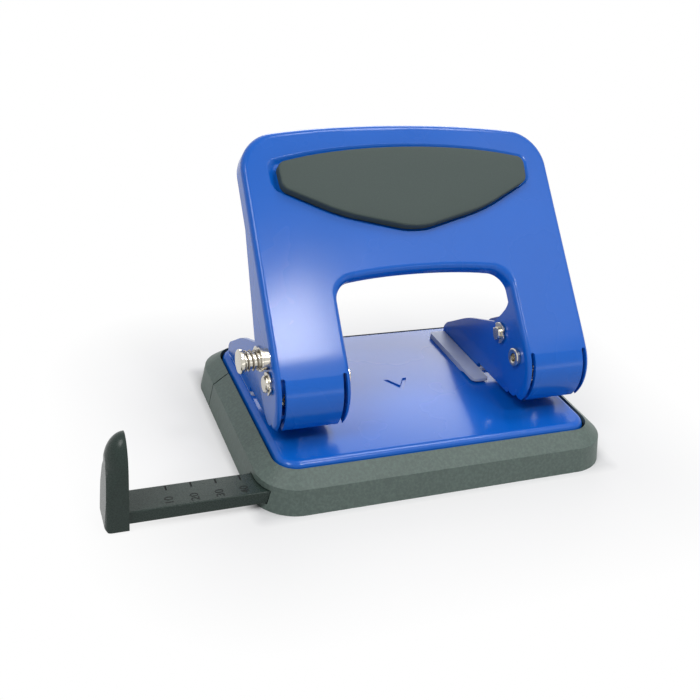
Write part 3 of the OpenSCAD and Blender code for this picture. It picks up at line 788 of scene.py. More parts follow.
    @classmethod
    def turned_piece(cls, node: str, profile: Sequence[Point], centre: Vector, body: Body) -> None:
        """Turns a nickel piece along X and stands it in for its node.

        Args:
            node: The node.
            profile: X from the centre and radius of each point, in millimetres.
            centre: A point on the axis.
            body: The body that it moves with.
        """
        bm = bmesh.new()
        outline = [centre + Vector((x * MM, 0.0, r * MM)) for x, r in profile]
        cls.revolve(bm, outline, centre, (1.0, 0.0, 0.0), 48, min(r for _, r in profile) > 0.0)
        cls.hand_over(cls.mesh_object(bm, node + "_turned"), NICKEL, body, [node])

    @classmethod
    def refine(cls, node: str, finish: Finish, body: Body, radius: float, segments: int = 2) -> Piece:
        """Stands an eased copy in for a node whose solid already has the right shape.

        Args:
            node: The node.
            finish: The copy's finish.
            body: The body that it moves with.
            radius: Round of its edges.
            segments: Steps of that round.

        Returns:
            The copy.
        """
        bm = cls.joined_flats(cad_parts[node].data, cls.NODE_FLAT)
        piece = cls.mesh_object(bm, node + "_eased")
        cls.ease_edges(piece, radius, segments)
        return cls.hand_over(piece, finish, body, [node])


# Sub-assemblies


@dataclass
class BaseAssembly:
    """Tray, chip drawer, base plate and what joins them."""

    plate_half: Point = (51.3 * MM, 35.5 * MM)
    plate_corner: float = 6.3 * MM
    plate_top: float = 12.8 * MM
    plate_sheet: float = 1.5 * MM
    plate_edge: float = 2.4 * MM
    plate_skirt: float = 4.2 * MM
    die_radius: float = 3.05 * MM
    die_place: Point = (40.0 * MM, -9.663 * MM)
    mark_stroke: Point = (1.1 * MM, 7.5 * MM)
    mark_depth: float = 0.5 * MM
    mark_lean: float = 27.0
    mark_apex: float = -3.6 * MM
    rivet_radius: float = 2.05 * MM
    rivet_rows: Point = (9.212 * MM, 22.962 * MM)
    moulded_edge: float = 0.35 * MM
    soft_edge: float = 0.15 * MM
    steel_edge: float = 0.1 * MM

    def build(self) -> None:
        """Builds the base's pieces."""
        Workshop.refine("base_tray", TRAY_PLASTIC, Body.BASE, self.moulded_edge, 3)
        Workshop.refine("chip_drawer", TRAY_PLASTIC, Body.DRAWER, self.moulded_edge, 3)
        Workshop.refine("anti_slip_pads", PAD_RUBBER, Body.BASE, self.soft_edge)
        Workshop.refine("weld_bosses", ZINC, Body.BASE, self.steel_edge)
        Workshop.refine("base_screws", ZINC, Body.BASE, self.steel_edge)
        self.plate()

    def plate(self) -> None:
        """Pressed plate with rolled edges, die holes and a centre mark."""
        bm = bmesh.new()
        hx, hy = self.plate_half
        r = self.plate_corner
        top = Workshop.rounded_face(bm, [(hx, -hy, r), (hx, hy, r), (-hx, hy, r), (-hx, -hy, r)], 12)
        Workshop.shift(bm, bm.verts, (0.0, 0.0, self.plate_top))
        rim = list(top.edges)
        skirt = bmesh.ops.extrude_edge_only(bm, edges=rim)["geom"]
        Workshop.shift(bm, skirt, (0.0, 0.0, -self.plate_skirt))
        Workshop.round_edges(bm, rim, self.plate_edge, 8)
        Workshop.face_up(bm)
        piece = Workshop.mesh_object(bm, "pressed_plate")
        Workshop.thicken(piece, self.plate_sheet)
        Workshop.carve(piece, self._openings(), Cut.AWAY)
        Workshop.ease_edges(piece, self.soft_edge)
        Workshop.hand_over(piece, BLUE_PAINT, Body.BASE, ["base_plate"])

    def _openings(self) -> BMesh:
        """Cutter of the die holes, the rivet holes and the centre mark.

        Returns:
            The closed forms.
        """
        bm = bmesh.new()
        x, y = self.die_place
        middle = self.plate_top - self.plate_sheet / 2.0
        holes = [(side.value * x, y, self.die_radius) for side in Side]
        holes += [(side.value * x, row, self.rivet_radius) for side in Side for row in self.rivet_rows]
        for hole_x, hole_y, radius in holes:
            place = Matrix.Translation((hole_x, hole_y, middle))
            Workshop.drill(bm, radius, 3.0 * self.plate_sheet, place)
        width, length = self.mark_stroke
        lean = math.radians(self.mark_lean)
        across, along = width / math.cos(lean), length * math.cos(lean)
        spread, apex = length * math.sin(lean), self.mark_apex
        mark = Workshop.rounded_face(
            bm,
            [
                (0.0, apex, 0.0),
                (spread + across / 2.0, apex + along, 0.0),
                (spread - across / 2.0, apex + along, 0.0),
                (0.0, apex + across / math.tan(lean), 0.0),
                (across / 2.0 - spread, apex + along, 0.0),
                (-spread - across / 2.0, apex + along, 0.0),
            ],
        )
        Workshop.shift(bm, mark.verts, (0.0, 0.0, self.plate_top - self.mark_depth))
        Workshop.raise_face(bm, mark, Vector((0.0, 0.0, 2.0 * self.mark_depth)))
        return bm


@dataclass
class BracketPair:
    """Fixed brackets that carry the punches, with their foot plates, rivets and bushes."""

    edge: float = 0.14 * MM
    rivet_edge: float = 0.3 * MM

    def build(self) -> None:
        """Builds both brackets."""
        for side in Side:
            Workshop.refine(f"bracket_{side.word}", BLUE_PAINT, Body.BASE, self.edge)
            Workshop.refine(f"foot_plate_{side.word}", DULL_ZINC, Body.BASE, self.edge)
            Workshop.refine(f"guide_bush_{side.word}", NICKEL, Body.BASE, self.edge)
        Workshop.refine("bracket_rivets", ZINC, Body.BASE, self.rivet_edge, 3)


@dataclass
class Coil:
    """A compression spring of round wire with closed ends."""

    radius: float
    wire: float
    length: float
    turns: float
    end_turns: float = 0.9
    turn_steps: int = 28

    def build(self, name: str, place: Matrix) -> Piece:
        """Winds the spring.

        Args:
            name: The piece's name.
            place: Takes the spring's own frame, wound up +Z from its foot, to the object's.

        Returns:
            The spring, with no finish yet.
        """
        bm = bmesh.new()
        ring = bmesh.ops.create_circle(bm, cap_ends=False, segments=10, radius=self.wire / 2.0)["verts"]
        bmesh.ops.rotate(bm, verts=ring, cent=(0, 0, 0), matrix=Matrix.Rotation(math.radians(90), 3, "X"))
        bmesh.ops.translate(bm, verts=ring, vec=(self.radius, 0.0, self.wire / 2.0))
        flat = 1.04 * self.wire
        rise = self.length - self.wire - 2.0 * self.end_turns * flat
        live = list(ring) + list(dict.fromkeys(e for v in ring for e in v.link_edges))
        first = [e for e in live if isinstance(e, BMEdge)]
        end_turn = (self.end_turns, self.end_turns * flat)
        for turns, climb in (end_turn, (self.turns, rise), end_turn):
            steps = max(4, round(self.turn_steps * turns))
            live = bmesh.ops.spin(
                bm,
                geom=live,
                cent=(0.0, 0.0, 0.0),
                axis=(0.0, 0.0, 1.0),
                dvec=(0.0, 0.0, climb / steps),
                angle=math.tau * turns,
                steps=steps,
            )["geom_last"]
        last = [g for g in live if isinstance(g, BMEdge)]
        for end in (first, last):
            bmesh.ops.edgeloop_fill(bm, edges=end)
        bmesh.ops.recalc_face_normals(bm, faces=bm.faces[:])
        bmesh.ops.transform(bm, matrix=place, verts=bm.verts[:])
        return Workshop.mesh_object(bm, name)


@dataclass
class PunchPair:
    """Punches and their return springs."""

    place: Point = (40.0 * MM, -9.663 * MM)
    seat: float = 18.0 * MM
    stroke: float = 7.5 * MM
    edge: float = 0.15 * MM
    spring: Coil = field(default_factory=lambda: Coil(4.35 * MM, 0.7 * MM, 11.5 * MM, 3.2))

    def build(self) -> None:
        """Builds both punches with their springs."""
        for side, body in ((Side.LEFT, Body.LEFT_PUNCH), (Side.RIGHT, Body.RIGHT_PUNCH)):
            Workshop.refine(f"punch_{side.word}", GROUND_STEEL, body, self.edge)
            foot = Vector((side.value * self.place[0], self.place[1], self.seat))
            spring = self.spring.build(f"return_spring_{side.word}", Matrix.Translation(foot))
            Workshop.hand_over(spring, SPRING_WIRE, Body.BASE, [f"punch_spring_{side.word}"])
            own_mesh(spring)


@dataclass
class LeverAssembly:
    """Stamped lever with its curled tongues, grip pad and pins."""

    tilt: float = math.radians(47.0)
    pivot: Point = (-20.5 * MM, 31.0 * MM)
    pivot_depth: float = 6.7 * MM
    leg: Point = (28.8 * MM, 51.2 * MM)
    reach: float = 76.8 * MM
    crown: float = 300.0 * MM
    corner: float = 12.0 * MM
    window_reach: float = 28.8 * MM
    window_crown: float = 160.0 * MM
    window_corner: float = 6.5 * MM
    rim_depth: float = 6.5 * MM
    window_depth: float = 4.5 * MM
    sheet: float = 1.3 * MM
    bend: float = 2.2 * MM
    tongue: float = 13.2 * MM
    tongue_arc: float = math.radians(81.0)
    drive: Point = (9.623 * MM, -12.767 * MM)
    lock: Point = (6.717 * MM, -4.812 * MM)
    rim_start: float = 46.08 * MM
    window_start: float = 17.28 * MM
    slit: float = 1.3 * MM
    slit_clear: float = 0.08 * MM
    slit_from: float = math.radians(5.0)
    curl_steps: int = 18
    onset: Point = (6.0 * MM, 0.15 * MM)
    onset_rings: int = 3
    slit_cut: float = 5.0 * MM
    lobe_radius: float = 5.1 * MM
    lobe_sweep: Point = (-28.0, -115.0)
    lobe_rise: Point = (4.6 * MM, -2.2 * MM)
    heel: tuple[Point, ...] = ((-0.394, -1.258), (-0.788, -1.189), (-0.83, -0.98))
    scoop: tuple[Point, ...] = ((0.0, 0.0), (0.28, 0.10), (0.52, 0.25), (0.75, 0.52), (0.9, 0.76), (1.0, 1.0))
    slack: float = 0.05 * MM
    weld: float = 0.08 * MM
    edge: float = 0.16 * MM
    clip_edge: float = 0.12 * MM
    hole_radii: Corner = (2.55 * MM, 2.02 * MM, 3.12 * MM)
    hole_lengths: Point = (28.0 * MM, 4.0 * MM)
    grip_half: float = 41.2 * MM
    grip_foot: float = 40.6 * MM
    grip_tall: float = 27.4 * MM
    recess: float = 0.9 * MM
    recess_wall: Point = (2.8 * MM, 1.5 * MM)
    recess_lift: float = 0.8 * MM
    recess_gap: float = 0.2 * MM
    recess_steps: tuple[Point, ...] = ((0.12, 0.03), (0.34, 0.22), (0.60, 0.70), (0.82, 0.93), (1.0, 1.04))
    grip_height: float = 3.0 * MM
    grip_edge: float = 0.6 * MM
    grip_crown: tuple[Point, ...] = ((0.90, 0.14 * MM), (0.84, 0.10 * MM), (0.72, 0.06 * MM))

    @property
    def frame(self) -> Matrix:
        """Takes X, height along the face and height off the face to the object's frame.

        Returns:
            The placing.
        """
        y, z = self.pivot
        foot = (0.0, y - self.pivot_depth * math.sin(self.tilt), z + self.pivot_depth * math.cos(self.tilt))
        return Matrix.Translation(foot) @ Matrix.Rotation(self.tilt, 4, "X")

    def build(self) -> None:
        """Builds the lever's pieces."""
        self.stamping()
        self.grip()
        self.pins()

    @staticmethod
    def _arch(half: float, top: float, crown: float, corner: float, start: float) -> list[Corner]:
        """Corners of an arch that stands on the pivot's line.

        Args:
            half: Half of its width.
            top: Height of its crown.
            crown: Radius of its crown.
            corner: Radius of its upper corners.
            start: Height of a plain point in each side.

        Returns:
            X, height and radius of each corner.
        """
        centre = top - crown
        lean = math.asin((half - corner) / (crown - corner))
        peak = centre + crown / math.cos(lean)
        shoulder = peak - half * math.tan(lean)
        right = [(half, 0.0, 0.0), (half, start, 0.0), (half, shoulder, corner)]
        return right + [(0.0, peak, crown)] + [(-x, y, r) for x, y, r in reversed(right)]

    @staticmethod
    def _open_arch(bm: BMesh, corners: list[Corner]) -> list[BMEdge]:
        """Edges of an arch without its foot.

        Args:
            bm: The mesh.
            corners: The arch's corners.

        Returns:
            The edges.
        """
        face = Workshop.rounded_face(bm, corners, 14)
        edges = list(face.edges)
        bmesh.ops.delete(bm, geom=[face], context="FACES_ONLY")
        foot = [e for e in edges if all(abs(v.co.y) < WELD for v in e.verts)]
        bmesh.ops.delete(bm, geom=foot, context="EDGES")
        return [e for e in edges if e.is_valid]

    @staticmethod
    def _roll_down(bm: BMesh, edges: list[BMEdge], start: float, depth: float) -> None:
        """Turns the edge of the face down, above the legs.

        Args:
            bm: The mesh.
            edges: The edge.
            start: Height where the legs' own flanges end.
            depth: Depth of the turned edge.
        """
        above = [e for e in edges if min(v.co.y for v in e.verts) > start - NEAR]
        made = bmesh.ops.extrude_edge_only(bm, edges=above)["geom"]
        Workshop.shift(bm, made, (0.0, 0.0, -depth))

    @staticmethod
    def _arc(centre: Point, radius: float, start: float, end: float, steps: int) -> list[Point]:
        """Points on an arc, with its angles in degrees."""
        turns = [math.radians(start + (end - start) * k / steps) for k in range(steps + 1)]
        return [(centre[0] + radius * math.cos(a), centre[1] + radius * math.sin(a)) for a in turns]

    @staticmethod
    def _sweep(start: Point, pull: Point, end: Point, steps: int) -> list[Point]:
        """Points on a curve that bends towards a third point.

        Args:
            start: The curve's first point.
            pull: The point that it bends towards.
            end: Its last point.
            steps: Its steps.

        Returns:
            The points.
        """
        return [
            tuple((1 - f) ** 2 * a + 2 * f * (1 - f) * b + f * f * c for a, b, c in zip(start, pull, end))
            for f in (k / steps for k in range(steps + 1))
        ]

    def _flange(self, bm: BMesh, x: float, start: float, rear: list[Point]) -> None:
        """One side of a leg, from the face's edge round the pins to the tongue.

        Args:
            bm: The mesh.
            x: Where the flange stands.
            start: Height where the rolled edge goes on.
            rear: Rear edge, from that height down to the drive pin's lobe.
        """
        t, edge = self.tongue, self.tongue - self.bend
        lobe = self._arc(self.drive, self.lobe_radius, *self.lobe_sweep, 8)
        heel = self._sweep(*((u * t, w * t) for u, w in self.heel), 10)
        curl = math.degrees(self.tongue_arc)
        front = self._arc((0.0, -t), edge, 90.0 + curl, 90.0 + curl / self.curl_steps, self.curl_steps - 1)
        bottom = [(0.0, -self.bend - self.slack)]
        outline = rear[1:] + lobe + heel + front + bottom

        def known(u: float, w: float) -> BMVert:
            """The mesh's own point at a height and a depth."""
            return min(bm.verts, key=lambda v: (v.co - Vector((x, u, w))).length)

        ring = [known(0.0, 0.0), known(start, 0.0), known(*rear[0])]
        ring += [bm.verts.new((x, u, w)) for u, w in outline]
        bm.faces.new(ring)

    def stamping(self) -> None:
        """The lever itself: one sheet with rolled edges, flanges and curled tongues."""
        bm = bmesh.new()
        inner, outer = self.leg
        outline = self._open_arch(bm, self._arch(outer, self.reach, self.crown, self.corner, self.rim_start))
        window = self._open_arch(
            bm, self._arch(inner, self.window_reach, self.window_crown, self.window_corner, self.window_start)
        )
        bmesh.ops.bridge_loops(bm, edges=outline + window)
        self._roll_down(bm, outline, self.rim_start, self.rim_depth)
        self._roll_down(bm, window, self.window_start, self.window_depth)
        inside = (self.window_start, -self.window_depth)
        lobe_top = tuple(place + rise for place, rise in zip(self.drive, self.lobe_rise))
        hollow = [
            tuple(a + (b - a) * f for a, b, f in zip(inside, lobe_top, shares)) for shares in self.scoop
        ]
        for side in Side:
            self._flange(bm, side.value * outer, self.rim_start, [(self.rim_start, -self.rim_depth)])
            self._flange(bm, side.value * inner, self.window_start, hollow)
        bends = [e for e in outline + window if e.is_valid]
        Workshop.round_edges(bm, bends, self.bend, 8)
        low = -self.bend - NEAR
        feet = [e for e in bm.edges if all(abs(v.co.y) < NEAR and v.co.z > low for v in e.verts)]
        bmesh.ops.spin(
            bm,
            geom=feet + list(dict.fromkeys(v for e in feet for v in e.verts)),
            cent=(0.0, 0.0, -self.tongue),
            axis=(1.0, 0.0, 0.0),
            angle=self.tongue_arc,
            steps=self.curl_steps,
        )
        bmesh.ops.remove_doubles(bm, verts=bm.verts[:], dist=self.weld)
        self._ease_curl(bm)
        Workshop.face_up(bm)
        piece = Workshop.mesh_object(bm, "stamped_lever")
        Workshop.thicken(piece, self.sheet)
        Workshop.carve(piece, self._drillings(), Cut.AWAY)
        Workshop.carve(piece, self._slits(), Cut.AWAY)
        Workshop.ease_edges(piece, self.edge)
        piece.data.transform(self.frame)
        Workshop.hand_over(piece, BLUE_PAINT, Body.LEVER, ["handle"])

    def _ease_curl(self, bm: BMesh) -> None:
        """Lets the flat legs fall gently into the tongues' curl.

        Args:
            bm: The sheet, before it has its thickness.
        """
        run, drop = self.onset
        for k in range(1, self.onset_rings + 1):
            bmesh.ops.bisect_plane(
                bm,
                geom=bm.verts[:] + bm.edges[:] + bm.faces[:],
                plane_co=(0.0, run * k / self.onset_rings, 0.0),
                plane_no=(0.0, 1.0, 0.0),
            )
        for v in bm.verts:
            if math.hypot(min(v.co.y, 0.0), v.co.z + self.tongue) > self.tongue - self.bend + self.slack:
                share = min(max(1.0 - v.co.y / run, 0.0), 1.0)
                v.co.z -= drop * share**2

    def _drillings(self) -> BMesh:
        """Cutter of the pin holes, the lock's hole and the grip pad's recess, in the lever's own frame.

        Returns:
            The closed forms.
        """
        bm = bmesh.new()
        inner, outer = self.leg
        lying = Matrix.Rotation(math.radians(90.0), 4, "Y")
        middle = (inner + outer) / 2.0
        pivot, drive, lock = self.hole_radii
        through, short = self.hole_lengths
        holes = []
        for side in Side:
            holes.append((side.value * middle, 0.0, -self.pivot_depth, pivot, through))
            holes.append((side.value * middle, *self.drive, drive, through))
        holes.append((-outer, *self.lock, lock, short))
        for x, u, w, radius, length in holes:
            Workshop.drill(bm, radius, length, Matrix.Translation((x, u, w)) @ lying)
        wall = Workshop.rounded_face(bm, self._grip_corners(), 10)
        Workshop.shift(bm, wall.verts, (0.0, 0.0, -self.recess))
        self._spread(bm, wall, (self.recess_gap, self.recess_gap))
        reached = (0.0, 0.0)
        for share, height in self.recess_steps:
            out, rise = share - reached[0], height - reached[1]
            wall = Workshop.raise_face(bm, wall, Vector((0.0, 0.0, self.recess * rise)))
            wide, tall = self.recess_wall
            self._spread(bm, wall, (wide * out, tall * out), self.recess_lift * out)
            reached = (share, height)
        return bm

    @staticmethod
    def _spread(bm: BMesh, face: BMFace, out: Point, lift: float = 0.0) -> None:
        """Grows a face about its middle.

        Args:
            bm: The mesh.
            face: The face.
            out: How far its ends move out along X and along Y.
            lift: How far the grown face moves up along Y.
        """
        xs, ys = [v.co.x for v in face.verts], [v.co.y for v in face.verts]
        grow = (1.0 + 2.0 * out[0] / (max(xs) - min(xs)), 1.0 + 2.0 * out[1] / (max(ys) - min(ys)), 1.0)
        centre = Matrix.Translation(-face.calc_center_bounds())
        bmesh.ops.scale(bm, vec=grow, space=centre, verts=list(face.verts))
        bmesh.ops.translate(bm, vec=(0.0, lift, 0.0), verts=list(face.verts))

    def _slits(self) -> BMesh:
        """Cutter of the round-topped slits beside the tongues, in the lever's own frame.

        Returns:
            The closed forms.
        """
        bm = bmesh.new()
        inner, outer = self.leg
        axis = Vector((0.0, 0.0, -self.tongue))
        for side in Side:
            inset = self.sheet + self.slit_clear + self.slit / 2.0
            for x in (inner + inset, outer - inset):
                top = self.tongue * Vector((0.0, -math.sin(self.slit_from), math.cos(self.slit_from)))
                out = Matrix.Rotation(self.slit_from, 4, "X")
                spot = axis + top + Vector((side.value * x, 0.0, 0.0))
                Workshop.drill(bm, self.slit / 2.0, self.slit_cut, Matrix.Translation(spot) @ out, 24)
                self._curved_slab(bm, side.value * x, axis)
        return bm

    def _curved_slab(self, bm: BMesh, x: float, axis: Vector) -> None:
        """Adds a slab that follows a tongue's curl.

        Args:
            bm: The mesh.
            x: Middle of the slab.
            axis: A point on the curl's axis.
        """
        made = bmesh.ops.create_grid(bm, x_segments=1, y_segments=1, size=0.5)["verts"]
        bmesh.ops.scale(bm, vec=(self.slit, self.slit_cut, 1.0), verts=made)
        foot = Matrix.Translation(axis + Vector((x, 0.0, self.tongue)))
        bmesh.ops.transform(bm, matrix=foot @ Matrix.Rotation(math.radians(90.0), 4, "X"), verts=made)
        bmesh.ops.rotate(bm, cent=axis, matrix=Matrix.Rotation(self.slit_from, 3, "X"), verts=made)
        edges = list(dict.fromkeys(e for v in made for e in v.link_edges))
        face = made[0].link_faces[0]
        bmesh.ops.spin(
            bm,
            geom=made + edges + [face],
            cent=axis,
            axis=(1.0, 0.0, 0.0),
            angle=math.radians(90.0),
            steps=20,
        )

    def _grip_corners(self) -> list[Corner]:
        """Corners of the grip pad's outline.

        Returns:
            X, height and radius of each corner.
        """
        half, low, tall = self.grip_half, self.grip_foot, self.grip_tall
        shoulder, rise = low + 0.814 * tall, 0.326 * tall
        crown = 0.872 * math.hypot(half, rise) * half / rise
        right = [
            (0.57 * half, low + 0.219 * tall, 1.2 * half),
            (0.986 * half, low + 0.526 * tall, 0.075 * half),
            (half, shoulder, 0.06 * half),
        ]
        left = [(-x, y, r) for x, y, r in reversed(right)]
        return [(0.0, low, 0.52 * half), *right, (0.0, shoulder + rise, crown), *left]

    def grip(self) -> None:
        """Moulded grip pad: a low wall, a soft shoulder and a slightly crowned top."""
        bm = bmesh.new()
        sink, crown = self.recess - self.slack, sum(rise for _, rise in self.grip_crown)
        foot = Workshop.rounded_face(bm, self._grip_corners(), 16)
        Workshop.shift(bm, bm.verts, (0.0, 0.0, -sink))
        top = Workshop.raise_face(bm, foot, Vector((0.0, 0.0, sink + self.grip_height - crown)))
        for share, rise in self.grip_crown:
            centre = top.calc_center_bounds()
            top = Workshop.raise_face(bm, top, Vector((0.0, 0.0, rise)))
            about = Matrix.Translation(-centre)
            bmesh.ops.scale(bm, vec=(share, share, 1.0), space=about, verts=list(top.verts))
        bmesh.ops.recalc_face_normals(bm, faces=bm.faces[:])
        Workshop.round_edges(bm, Workshop.sharp_edges(bm, math.radians(60.0)), self.grip_edge, 4)
        bmesh.ops.transform(bm, matrix=self.frame, verts=bm.verts[:])
        piece = Workshop.mesh_object(bm, "grip")
        Workshop.hand_over(piece, GRIP_RUBBER, Body.LEVER, ["grip_pad"])

    def pins(self) -> None:
        """Pivot pins, drive pins and their clips."""
        inner, outer = (edge / MM for edge in self.leg)
        head, end, tip, rim = inner - 1.3, outer + 1.8, inner - 1.8, outer + 0.2
        pivot = [
            (head + 1.6, 0.0), (head + 1.6, 1.1), (head + 0.15, 1.35), (head, 1.6), (head, 2.55),
            (head + 0.25, 2.9), (head + 1.1, 2.9), (head + 1.1, 2.5), (outer + 0.2, 2.5), (outer + 0.2, 1.9),
            (outer + 0.9, 1.9), (outer + 0.9, 2.5), (end - 0.35, 2.5), (end, 2.15), (end, 0.0),
        ]
        drive = [
            (tip, 0.0), (tip, 1.7), (tip + 0.3, 2.0), (inner - 0.9, 2.0), (inner - 0.9, 1.4),
            (inner - 0.2, 1.4), (inner - 0.2, 2.0), (rim, 2.0), (rim, 3.0), (rim + 0.7, 3.0),
            (rim + 1.05, 2.5), (rim + 1.1, 0.0),
        ]
        kinds = (
            ("pivot", pivot, Vector((0.0, *self.pivot)), Body.BASE),
            ("drive", drive, self.frame @ Vector((0.0, *self.drive)), Body.LEVER),
        )
        for side in Side:
            for word, profile, centre, body in kinds:
                turned = [(side.value * x, r) for x, r in profile]
                Workshop.turned_piece(f"{word}_pin_{side.word}", turned, centre, body)
        for word, _, _, body in kinds:
            Workshop.refine(f"{word}_clips", NICKEL, body, self.clip_edge)


@dataclass
class LockPlunger:
    """Spring-loaded plunger in the left leg that holds the lever down."""

    flange: float = -51.2 * MM
    axis: Point = (-17.3 * MM, 37.2 * MM)
    travel: float = 2.4 * MM
    collar: float = 2.5 * MM
    spring: Coil = field(default_factory=lambda: Coil(2.825 * MM, 0.45 * MM, 4.6 * MM, 2.6, 0.6))

    def build(self) -> None:
        """Builds the plunger, its bush and its spring."""
        centre = Vector((self.flange, *self.axis))
        stem = [
            (8.6, 0.0), (8.6, 2.9), (8.5, 3.25), (8.2, 3.5), (7.6, 3.5), (7.3, 3.4), (7.1, 3.1), (7.1, 2.4),
            (1.15, 2.4), (1.0, 2.2), (1.0, 1.4), (-1.0, 1.4), (-1.2, 1.15), (-1.2, 0.0),
        ]
        bush = [
            (-1.3, 2.45), (-1.3, 3.1), (1.8, 3.1), (1.8, 3.3), (1.9, 3.45), (2.4, 3.45), (2.5, 3.35),
            (2.5, 2.55), (2.4, 2.45),
        ]
        for node, profile, body in (("lock_plunger", stem, Body.LOCK), ("lock_bush", bush, Body.LEVER)):
            Workshop.turned_piece(node, [(-x, r) for x, r in profile], centre, body)
        collar = centre + Vector((-self.collar, 0.0, 0.0))
        outward = Matrix.Translation(collar) @ Matrix.Rotation(math.radians(-90.0), 4, "Y")
        spring = self.spring.build("lock_coil", outward)
        Workshop.hand_over(spring, SPRING_WIRE, Body.LEVER, ["lock_spring"])
        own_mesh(spring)


@dataclass
class PaperGuide:
    """Sliding bar with its upright stop, its marks and the leaf that holds it."""

    left: float = -93.3 * MM
    right: float = 19.7 * MM
    front: float = -37.0 * MM
    width: float = 9.8 * MM
    low: float = 2.05 * MM
    thickness: float = 4.0 * MM
    stop_thickness: float = 6.4 * MM
    stop_height: float = 27.6 * MM
    stop_width: float = 11.5 * MM
    stop_low: float = 0.6 * MM
    stop_edge: float = 0.6 * MM
    edge: float = 0.35 * MM
    leaf_edge: float = 0.08 * MM
    tick_start: float = 4.25 * MM
    tick_pitch: float = 7.0 * MM
    tick_count: int = 11
    tick_long: float = 5.0 * MM
    tick_short: float = 2.6 * MM
    number_size: float = 3.4 * MM
    number_height: float = 0.03 * MM

    def build(self) -> None:
        """Builds the guide's pieces."""
        self.bar()
        self.marks()
        Workshop.refine("guide_leaf", ZINC, Body.BASE, self.leaf_edge)

    def _ticks(self) -> list[tuple[int, float, float]]:
        """Number, X and length of each tick."""
        places = [self.left + self.tick_start + self.tick_pitch * k for k in range(1, self.tick_count + 1)]
        return [(k, x, self.tick_long if k % 5 == 0 else self.tick_short) for k, x in enumerate(places, 1)]

    def bar(self) -> None:
        """Bar and stop, moulded in one."""
        bm = bmesh.new()
        top = self.low + self.thickness
        size = Vector((self.right - self.left + 1.0 * MM, self.width, self.thickness))
        depth, height = self.front + self.width / 2.0, self.low + self.thickness / 2.0
        Workshop.block(bm, (self.right - size.x / 2.0, depth, height), size)
        Workshop.round_edges(bm, bm.edges[:], self.edge, 3)
        bar = Workshop.mesh_object(bm, "paper_guide")
        ticks = bmesh.new()
        for _, x, long in self._ticks():
            spot = (x, self.front + self.width - long / 2.0 + 0.5 * MM, top)
            Workshop.block(ticks, spot, (0.5 * MM, long + 1.0 * MM, 0.6 * MM))
        Workshop.carve(bar, ticks, Cut.AWAY)
        Workshop.carve(bar, self._stop(), Cut.JOIN)
        Workshop.hand_over(bar, GUIDE_PLASTIC, Body.GUIDE, ["guide_bar"])

    def _stop(self) -> BMesh:
        """The upright stop: flat towards the paper, leaning in outside, with a domed top.

        Returns:
            The closed form.
        """
        t, low, half = self.stop_thickness, self.stop_low, self.stop_width / 2.0
        top, middle = low + self.stop_height, self.front + self.width / 2.0
        place = Matrix.Translation((self.left, middle, 0.0))
        upright = Matrix.Rotation(math.radians(90.0), 4, "X")
        shoulder = top - 1.42 * t
        column = bmesh.new()
        plan = [(0.0, -half, 0.0), (0.0, half, 0.0), (-t, half, 0.3 * t), (-t, -half, 0.3 * t)]
        face = Workshop.rounded_face(column, plan, 10)
        Workshop.shift(column, column.verts, (0.0, 0.0, low))
        Workshop.raise_face(column, face, Vector((0.0, 0.0, top - low)))
        bmesh.ops.transform(column, matrix=place, verts=column.verts[:])
        bmesh.ops.recalc_face_normals(column, faces=column.faces[:])
        stop = Workshop.mesh_object(column, "stop_blank")
        lean = bmesh.new()
        side = [
            (-t + 0.8 * MM, low, 0.0), (t, low, 0.0), (t, 2.0 * top, 0.0), (-0.84 * t, 2.0 * top, 0.0),
            (-0.84 * t, shoulder, 12.0 * MM), (-t, low + 1.0 * MM, 0.5 * MM),
        ]
        face = Workshop.rounded_face(lean, side, 8)
        aside = place @ Matrix.Translation((0.0, 2.0 * half, 0.0)) @ upright
        bmesh.ops.transform(lean, matrix=aside, verts=lean.verts[:])
        Workshop.raise_face(lean, face, Vector((0.0, -4.0 * half, 0.0)))
        Workshop.carve(stop, lean, Cut.KEEP)
        Workshop.carve(stop, self._dome(shoulder, top, place), Cut.KEEP)
        Workshop.ease_edges(stop, self.stop_edge, 4)
        bm = bmesh.new()
        bm.from_mesh(stop.data)
        bpy.data.objects.remove(stop)
        return bm

    def _dome(self, shoulder: float, top: float, place: Matrix) -> BMesh:
        """Round form that draws the stop's corners in towards its top.

        Args:
            shoulder: Height where the dome starts.
            top: Height of its crown.
            place: Where it stands.

        Returns:
            The closed form.
        """
        w = self.stop_width
        radius, tall = 0.89 * self.stop_thickness, top - shoulder
        flank = [(0.0, -1.0 * MM), (0.78 * w, -1.0 * MM)]
        flank += [(0.68 * w, 0.55 * shoulder), (0.58 * w, 0.85 * shoulder)]
        turns = [math.radians(angle) for angle in range(0, 90, 5)]
        flank += [(radius * math.cos(a), shoulder + tall * math.sin(a)) for a in turns]
        flank.append((0.0, top))
        bm = bmesh.new()
        outline = [Vector((r, 0.0, z)) for r, z in flank]
        Workshop.revolve(bm, outline, Vector((0.0, 0.0, 0.0)), (0.0, 0.0, 1.0), 72)
        bmesh.ops.transform(bm, matrix=place, verts=bm.verts[:])
        return bm

    def marks(self) -> None:
        """Dark plain numbers and dark fills at the bottom of the tick grooves along the bar: painted shade of
        engraved marks.
        """
        bm = bmesh.new()
        top = self.low + self.thickness
        for k, x, long in self._ticks():
            # Painted shade: a dark fill laid at the bottom of each carved tick groove.
            spot = (x, self.front + self.width - long / 2.0, top - 0.24 * MM)
            Workshop.block(bm, spot, (0.46 * MM, long, 0.08 * MM))
            # Painted shade: a flat dark number that stands in for a shaded, engraved one.
            self._number(bm, str(10 * k), Vector((x + 1.1 * MM, self.front + 1.0 * MM, top + 0.01 * MM)))
        bmesh.ops.remove_doubles(bm, verts=bm.verts[:], dist=NEAR)
        bmesh.ops.recalc_face_normals(bm, faces=bm.faces[:])
        Workshop.hand_over(Workshop.mesh_object(bm, "guide_mark_shade"), MARK_SHADE, Body.GUIDE)

